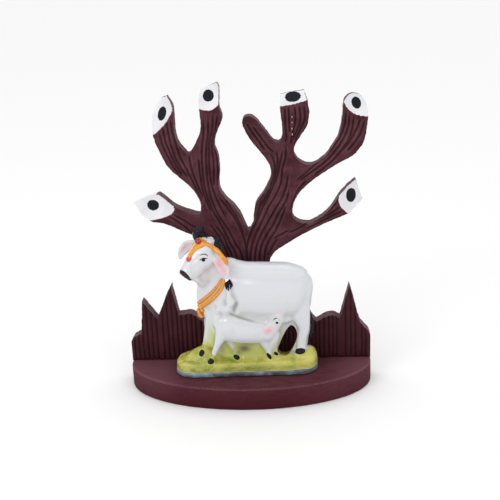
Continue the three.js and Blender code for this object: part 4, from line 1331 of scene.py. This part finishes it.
def makeGloss(name, deep, pale, roughness, fine, metal=0.0, height=0.0003, specular=0.5, coat=0.5):
    material, shader = newMaterial(name)
    noise = mottle(glossLook["broad"], fine, glossLook["stretch"])["Fine"]
    colour = layered(deep, (ramp(noise, *glossLook["mottled"]), pale))
    giveAll(shader, Base_Color=colour, Roughness=roughness, Metallic=metal, Specular_IOR_Level=specular,
            Coat_Weight=coat, Coat_Roughness=glossLook["coatRoughness"],
            Normal=bumped((noise, glossLook["bump"], height)))
    return material


statuetteV, statuetteQuads = makeStatuette([makeEnamel("glossyEnamel", 0.5, 0.6),
                                            makeEnamel("glossyBlackEnamel", 0.16, 0.08)])
print("statuette made")
skinTree = BVHTree.FromPolygons(statuetteV.tolist(), statuetteQuads.tolist())
paints = {name: makeGloss(name, **values) for name, values in gloss.items()}


# Where lines of sight meet the statuette, with the surface's direction there; a line that passes it by ends
# at the place where it comes closest
def onSkin(pixels, nearest=700, farthest=860, reach=6):
    places, ways = [], []
    for pixel in np.asarray(pixels, float):
        eye, d = sightLine(*pixel)
        hit, normal, _, _ = skinTree.ray_cast(Vector(eye), Vector(d))
        if hit is None:
            along = eye + d * np.arange(nearest, farthest, 1.0)[:, None]
            found = [(skinTree.find_nearest(Vector(p)), p) for p in along]
            (skin, normal, _, away), p = min(found, key=lambda f: f[0][3])
            hit = Vector(p)
            if away < reach:
                normal = Vector(unit(p - np.array(skin)))
        places.append(hit[:])
        ways.append(normal[:])
    return np.array(places), unit(np.array(ways))


def blurRows(rows, rounds=3):
    rows = rows.copy()
    for _ in range(rounds):
        rows[1:-1] = 0.25 * rows[:-2] + 0.5 * rows[1:-1] + 0.25 * rows[2:]
    return rows


# A cord along a line on the skin: its section is an ellipse flattened against the skin, with lobes that wind
# round it as it goes, and it thins out at both ends
def cord(places, ways, radius, flat=0.7, lobes=0, lobeDepth=0.0, pitch=3.0, sides=14, sink=0.2, ends=0.12,
         wide=(1,), lift=0.6):
    p, n = blurRows(places), unit(blurRows(ways, 6))
    along = unit(np.gradient(p, axis=0))
    n = unit(n - (n * along).sum(1)[:, None] * along)
    side = np.cross(along, n)
    run = runAlong(p)
    share = run / run[-1]
    size = radius * np.clip(np.minimum(share, 1 - share) / ends, 0.02, 1) ** 0.5
    size = size * np.interp(share, np.linspace(0, 1, len(wide)), wide)
    angle = np.arange(sides) * 2 * math.pi / sides
    wind = angle - 2 * math.pi * run[:, None] / pitch / max(lobes, 1)
    r = size[:, None] * (1 + lobeDepth * np.cos(lobes * wind))
    middle = p + n * (size * flat * (1 - 2 * sink) * lift)[:, None]
    return closedTube(middle[:, None] + side[:, None] * (r * np.cos(angle))[..., None] +
                      n[:, None] * (r * flat * np.sin(angle))[..., None])


def seenCord(pixels, radius, perSpan=8, **settings):
    return cord(*onSkin(smoothThrough(pixels, perSpan)), radius, **settings)


# A rounded button on the skin: rings of a flattened ball about a way out, with its length turned by an angle
def button(place, way, long, short, height, turn=0.0, sink=0.25, tip=0.04, rings=13, sides=20):
    right, up, _, _ = viewAxes()
    way = unit(way)
    x = turned(right, up, turn)[0]
    x = unit(x - (x @ way) * way)
    y = np.cross(way, x)
    polar = np.linspace(tip, math.pi - tip, rings)
    angle = np.arange(sides) * 2 * math.pi / sides
    ring = np.sin(polar)[:, None]
    middle = place + way * height * (1 - 2 * sink) * 0.5
    v = middle[None, None] + x * (ring * np.cos(angle) * long)[..., None]
    v = v + y * (ring * np.sin(angle) * short)[..., None] + way * (np.cos(polar) * height)[:, None, None]
    return closedTube(v)


def seenButton(pixel, *sizes, **settings):
    places, ways = onSkin([pixel])
    return button(places[0], ways[0], *sizes, **settings)


# Places on the head's other side, set on the skin there
def mirrored(places):
    found = [skinTree.find_nearest(Vector(p)) for p in otherSide(places)]
    return np.array([f[0][:] for f in found]), unit(np.array([f[1][:] for f in found]))


def detailPiece(name, shapes, paint):
    return newPiece(name, *gathered(shapes), [paints[paint]], "cow_and_calf")


# Both horns: stout and short, black, the far one broad at its foot
horns = {
    "far": [(-39.8, -21.5, 132, 4.6, 5.6), (-39.8, -22, 134.8, 5, 6.1), (-39.3, -22.5, 137.6, 4.9, 5.6),
        (-38, -22.4, 140, 3.6, 4), (-36.4, -22.2, 141.6, 1.7, 2)],
    "near": [(-22.6, -31, 124.5, 3.6, 4), (-22.3, -31.4, 128.5, 3.3, 3.8), (-21.9, -31.7, 131.8, 2.6, 3),
        (-21.6, -31.8, 134.4, 1.4, 1.5), (-21.7, -31.8, 136.3, 0.6, 0.6)],
}
detailPiece("two_horns", [limb(s, 24, 6) for s in horns.values()], "blackEnamel")

# Eyes: a round pupil, the upper lid's line and the brow's arc, in picture points; the far side mirrors them
eyes = {
    "pupil": (203.4, 260),
    "lid": [(199.4, 261.2), (200.9, 259.3), (203.2, 258.3), (205.6, 258.5), (207.9, 258.7)],
    "brow": [(199.6, 255.7), (201.4, 254.6), (204.1, 254.2), (206.6, 254.9), (208.1, 256.6)],
    "calfPupil": (277, 322.8), "calfLid": [(273.2, 320.8), (273.9, 319.4), (276, 318.3), (278.2, 318.2)],
    "calfLash": [(279.2, 319.6), (280, 320.4)], "pupilSize": (1.65, 1.5, 0.45),
    "calfPupilSize": (1.3, 1.15, 0.4), "lidRadius": 0.46, "browRadius": 0.38, "calfLidRadius": 0.36,
    "calfLashRadius": 0.3,
}


def makeEyes():
    thin = {"flat": 0.5, "sides": 8, "ends": 0.35}
    shapes = []
    for line in ("lid", "brow"):
        places, ways = onSkin(smoothThrough(eyes[line], 6))
        radius = eyes[line + "Radius"]
        shapes += [cord(places, ways, radius, **thin), cord(*mirrored(places), radius, **thin)]
    places, ways = onSkin([eyes["pupil"]])
    for at, way in ((places, ways), mirrored(places)):
        shapes.append(button(at[0], way[0], *eyes["pupilSize"]))
    shapes.append(seenButton(eyes["calfPupil"], *eyes["calfPupilSize"]))
    shapes += [seenCord(eyes[line], eyes[line + "Radius"], 6, **thin) for line in ("calfLid", "calfLash")]
    detailPiece("painted_eyes", shapes, "blackEnamel")


makeEyes()

# The garland: two wound gold strands with a row of beads between them, and a tassel at the throat. A knot is
# its place in the picture, half its length and width, its height and its turn
garland = {
    "upper": [(222.3, 278.2), (219.6, 282.5), (215.4, 288.3), (209.6, 294.3), (203.2, 299.6), (198.2, 303)],
    "lower": [(224.7, 279.4), (223, 285.2), (219.4, 291.6), (212.8, 298.2), (206, 303.4), (201, 307)],
    "beads": [(223.6, 279), (221.3, 283.9), (217.4, 290), (211.2, 296.3), (204.6, 301.5), (199.4, 305.2)],
    "upperWide": (0.8, 1, 1.15, 1.2), "lowerWide": (0.7, 1, 1.2, 1.2), "upperRadius": 1.35,
    "lowerRadius": 1.75,
    "knots": [((200.4, 306.4), 3.2, 2.4, 1.9, -55), ((199.3, 311), 2.9, 2.6, 2, -70),
        ((202.6, 310), 2.4, 2, 1.7, -60), ((201.3, 315), 3.1, 2.8, 2, -80)],
    "fringe": {"count": 7, "top": (197.6, 311), "topStep": 1, "foot": (198.6, 318.4), "footStep": 0.85,
        "bow": 0.22, "radius": 0.55, "cord": {"flat": 0.8, "lobes": 2, "lobeDepth": 0.2, "pitch": 1.6,
        "sides": 10, "ends": 0.15}},
    "bead": {"first": 1, "last": 0.5, "step": 1.45, "rise": 0.7, "sizes": (0.68, 0.68, 0.68)},
}


def makeGarland():
    wound = {"flat": 0.8, "lobes": 2, "lobeDepth": 0.15, "pitch": 2.6, "sides": 16, "ends": 0.05}
    shapes = [seenCord(garland[strand], garland[strand + "Radius"], **wound, wide=garland[strand + "Wide"])
              for strand in ("upper", "lower")]
    shapes += [seenButton(pixel, *sizes, turn=turn) for pixel, *sizes, turn in garland["knots"]]
    fringe = garland["fringe"]
    (topX, topY), (footX, footY) = fringe["top"], fringe["foot"]
    for k in range(fringe["count"]):
        foot = (footX + k * fringe["footStep"], footY - fringe["bow"] * (k - fringe["count"] // 2) ** 2)
        strand = [(topX + k * fringe["topStep"], topY), foot]
        shapes.append(seenCord(strand, fringe["radius"], 10, **fringe["cord"]))
    detailPiece("gold_garland", shapes, "goldPaint")
    line, ways = onSkin(smoothThrough(garland["beads"], 12))
    run = runAlong(line)
    bead = garland["bead"]
    at = np.arange(bead["first"], run[-1] - bead["last"], bead["step"])
    middles, outs = placesAt(at, run, line), unit(placesAt(at, run, ways))
    beads = [button(p + w * bead["rise"], w, *bead["sizes"]) for p, w in zip(middles, outs)]
    detailPiece("garland_beads", beads, "paleGold")


makeGarland()


# Where lines down onto the forehead meet the skin, for places given along and across the head
def onHead(s, t):
    starts = headFrame["poll"] + s[:, None] * headFrame["s"] + t[:, None] * headFrame["t"]
    starts = starts + headBand["above"] * headFrame["n"]
    found = [skinTree.ray_cast(Vector(p), Vector(-headFrame["n"])) for p in starts]
    return np.array([f[0][:] for f in found]), np.array([f[1][:] for f in found])


# The head's band, the forehead's plate with its pale middle cord as a painted highlight, the jewel, the mark
# and the poll's locks
headBand = {
    "band": [(201.4, 243), (205.6, 244.5), (210.3, 246.3), (214.6, 248.8), (218.4, 252.3), (222, 256.6),
        (225.4, 261), (227.8, 265.6)],
    "bandWide": [0.55, 0.65, 1.1, 1.25, 1, 1, 1, 0.75],
    "plate": {"along": (1.6, 22.6), "at": [1.6, 4, 7.5, 10, 12.5, 15, 18, 22.6],
        "half": [4, 5.8, 5.8, 5.1, 4, 2.8, 2.3, 1.7]},
    "plateHeight": 0.95, "bead": (0.22, 2.1), "cord": (5.5, 22), "jewel": ((198.1, 241.2), -34),
    "mark": (188.9, 258.9),
    "locks": [[(213.4, 242.8), (210.4, 239.8), (207.6, 236.9)],
        [(213.4, 243.6), (209, 240.4), (205.8, 238.4)], [(213.4, 242), (211.8, 239), (209.8, 236.8)],
        [(212.6, 244.4), (208.4, 242.2), (205.2, 240.8)], [(214, 243), (212.8, 240.8), (211.6, 238.8)]],
    "bandRadius": 2.05, "cordAside": -0.9, "cordRise": 0.75, "cordRadius": 0.85, "jewelSize": (3, 2.7, 1.6),
    "markSize": (2.9, 2.9, 0.8), "above": 28, "lockRadius": 1.25, "jewelLean": (0.5, 0.3), "plateSink": 0.5,
}


def foreheadPlate():
    shape = headBand["plate"]
    s = np.linspace(*shape["along"], 52)
    share = np.linspace(-1, 1, 31)
    t = np.interp(s, shape["at"], shape["half"])[:, None] * share
    places, ways = (rows.reshape(len(s), -1, 3) for rows in onHead(np.repeat(s, len(share)), t.ravel()))
    ways = unit(blurRows(ways, 4))
    deep, pitch = headBand["bead"]
    bead = deep * np.cos(2 * math.pi * s / pitch)[:, None] * np.cos(2 * math.pi * t / pitch)
    rise = headBand["plateHeight"] * np.sqrt(1 - 0.9 * share ** 6) + bead * (1 - share ** 4)
    under = places - headBand["plateSink"] * ways
    return closedTube(np.concatenate([places + ways * rise[..., None], under[:, ::-1]], 1))


def makeHeadBand():
    wound = {"flat": 0.55, "lobes": 3, "lobeDepth": 0.13, "pitch": 2.4, "sides": 18, "ends": 0.08,
             "wide": headBand["bandWide"]}
    places, ways = onSkin(smoothThrough(headBand["band"], 8))
    radius = headBand["bandRadius"]
    shapes = [cord(places, ways, radius, **wound), cord(*mirrored(places), radius, **wound), foreheadPlate()]
    detailPiece("gold_head_band", shapes, "goldPaint")
    # A pale beaded cord along the plate, standing for the painted highlight on its left strip
    s = np.linspace(*headBand["cord"], 60)
    places, ways = onHead(s, np.full(len(s), headBand["cordAside"]))
    raised = places + headBand["cordRise"] * ways
    beaded = {"flat": 0.8, "lobes": 2, "lobeDepth": 0.25, "pitch": 1.7, "sides": 12}
    detailPiece("forehead_highlight_cord", [cord(raised, ways, headBand["cordRadius"], **beaded)], "paleGold")
    pixel, y = headBand["jewel"]
    eye, d = sightLine(*pixel)
    aside, back = headBand["jewelLean"]
    way = headFrame["n"] + aside * headFrame["t"] - back * headFrame["s"]
    gem = button(eye + d * (y - eye[1]) / d[1], way, *headBand["jewelSize"], turn=-38, sink=0.5)
    detailPiece("red_jewel", [gem], "jewelPaint")
    detailPiece("red_mark", [seenButton(headBand["mark"], *headBand["markSize"], turn=-65)], "redPaint")
    curled = {"flat": 0.9, "sides": 12, "ends": 0.35, "lobes": 3, "lobeDepth": 0.12, "pitch": 8.0}
    locks = [seenCord(lock, headBand["lockRadius"], 10, **curled) for lock in headBand["locks"]]
    detailPiece("poll_locks", locks, "whiteLocks")


makeHeadBand()

# The tuft of the calf's tail: black locks side by side that meet in a point above, as lines in the picture
calfTuft = [
    ((227.6, 290.3), (226, 285.6), (228.2, 281.6), (229.7, 279.4)),
    ((228.7, 291.4), (228.2, 286), (228.9, 282.2), (229.8, 279.3)),
    ((229.8, 289.8), (230.9, 286), (230.6, 282.4), (229.9, 279.5)),
    ((230.2, 288.2), (231.9, 285.4), (231, 282.6), (230, 279.8)),
    ((227.2, 287.6), (226, 284.4), (227.6, 282), (229.4, 280)),
]
calfLock = {"flat": 0.9, "sides": 12, "ends": 0.4, "lobes": 3, "lobeDepth": 0.18, "pitch": 9.0}
detailPiece("calf_tail_tuft", [seenCord(lock, 0.95, **calfLock) for lock in calfTuft], "blackEnamel")

# The tuft of the cow's tail: three black locks that wind together down the back of the hind leg
tailTuft = {
    "line": [(57, -19.4, 60), (58.5, -19.2, 53), (59.2, -19, 45), (58.9, -19, 38), (58, -18.9, 31),
        (57.1, -18.8, 24)],
    "radius": 1.1, "apart": 0.8, "pitch": 26, "out": (1, -0.4, 0), "turns": (0, 2.1, 4.2),
    "lock": {"flat": 1, "sides": 12, "ends": 0.35, "lobes": 4, "lobeDepth": 0.12, "pitch": 12, "sink": 0.5},
}


def makeCowTuft():
    line = smoothThrough(tailTuft["line"], 10)
    wind = 2 * math.pi * (line[0, 2] - line[:, 2]) / tailTuft["pitch"]
    out = np.repeat([tailTuft["out"]], len(line), 0)
    shapes = []
    for turn in tailTuft["turns"]:
        aside = np.stack([np.cos(wind + turn), np.sin(wind + turn), 0 * wind], 1) * tailTuft["apart"]
        shapes.append(cord(line + aside, out, tailTuft["radius"], **tailTuft["lock"]))
    detailPiece("cow_tail_tuft", shapes, "blackEnamel")


makeCowTuft()

# Four pale chips in a row on the middle right bough: place on the board's front and half length
chips = [(45.9, 234.3, 0.9), (45.8, 229.5, 0.6), (45.6, 223.9, 0.8), (45.7, 218.9, 1)]
chipWide, chipHigh = 0.42, 0.4
chipShapes = [button(np.array([x, board["surface"], z]), np.array([0.0, -1, 0]), chipWide, half, chipHigh)
              for x, z, half in chips]
newPiece("paint_chips", *gathered(chipShapes), [paints["palePaintChips"]], "tree_board")
print("painted and gilded details made")

# The white studio, in metres: how bright the sky is at the horizon, half way up and overhead, and its lights
studio = {
    "horizon": 0.955, "middle": 0.4, "zenith": 1.17, "lowBand": (0.1, 0.25), "highBand": (0.2, 0.8),
    "floor": 0.97, "floorHalf": 40, "floorRoughness": 0.9,
}
lights = {
    "keyLeft": {"place": (-0.9, -1.1, 1), "aim": (0, 0, 0.12), "size": (0.6, 0.6), "power": 3.4},
    "frontSoft": {"place": (-0.163, -1.24, 0.36), "aim": (0, 0, 0.11), "size": (0.03, 0.12), "power": 0.4},
    "topSoft": {"place": (0.25, -0.2, 1.3), "aim": (0, 0, 0.1), "size": (0.5, 0.5), "power": 0.8},
}


def makeCamera():
    right, up, back, eye = viewAxes()
    camera = bpy.data.objects.new("camera", bpy.data.cameras.new("camera"))
    camera.matrix_world = Matrix(np.column_stack([right, up, back, toFrame(eye)]).tolist() + [[0, 0, 0, 1]])
    camera.data.sensor_width = view["sensor"]
    camera.data.lens = view["focal"] * view["sensor"] / view["width"]
    camera.data.clip_start = view["near"]
    camera.data.clip_end = view["far"]
    bpy.context.scene.collection.objects.link(camera)
    bpy.context.scene.camera = camera


def makeFloor():
    s = studio["floorHalf"]
    floor = newObject("floor", toSizes([(-s, -s, 0), (s, -s, 0), (s, s, 0), (-s, s, 0)]), [(0, 1, 2, 3)])
    material, shader = newMaterial("paleFloor")
    giveAll(shader, Base_Color=(studio["floor"],) * 3, Roughness=studio["floorRoughness"])
    floor.data.materials.append(material)


def softLight(name, place, aim, size, power):
    data = bpy.data.lights.new(name, "AREA")
    data.shape = "RECTANGLE"
    data.size, data.size_y = size
    data.energy = power
    light = bpy.data.objects.new(name, data)
    light.location = place
    light.rotation_euler = (Vector(aim) - Vector(place)).to_track_quat("-Z", "Y").to_euler()
    light.visible_camera = False
    bpy.context.scene.collection.objects.link(light)


# A white studio: bright overhead, dimmer half way down, and white again at the horizon behind the floor
def makeWorld():
    world = bpy.data.worlds.new("studio")
    world.use_nodes = True
    writeTo(world.node_tree)
    place = addNode("ShaderNodeTexCoord").outputs["Generated"]
    height = addNode("ShaderNodeSeparateXYZ", Vector=place).outputs["Z"]
    high = ramp(height, *studio["highBand"], studio["middle"], studio["zenith"])
    low = ramp(height, *studio["lowBand"], studio["horizon"] - studio["middle"], 0)
    giveAll(tree["nodes"]["Background"], Strength=mathNode("ADD", high, low), Color=(1.0, 1.0, 1.0))
    bpy.context.scene.world = world
    bpy.context.scene.view_settings.view_transform = "Standard"


makeCamera()
makeFloor()
makeWorld()
for name, light in lights.items():
    softLight(name, **light)
print("floor, lights and camera made")
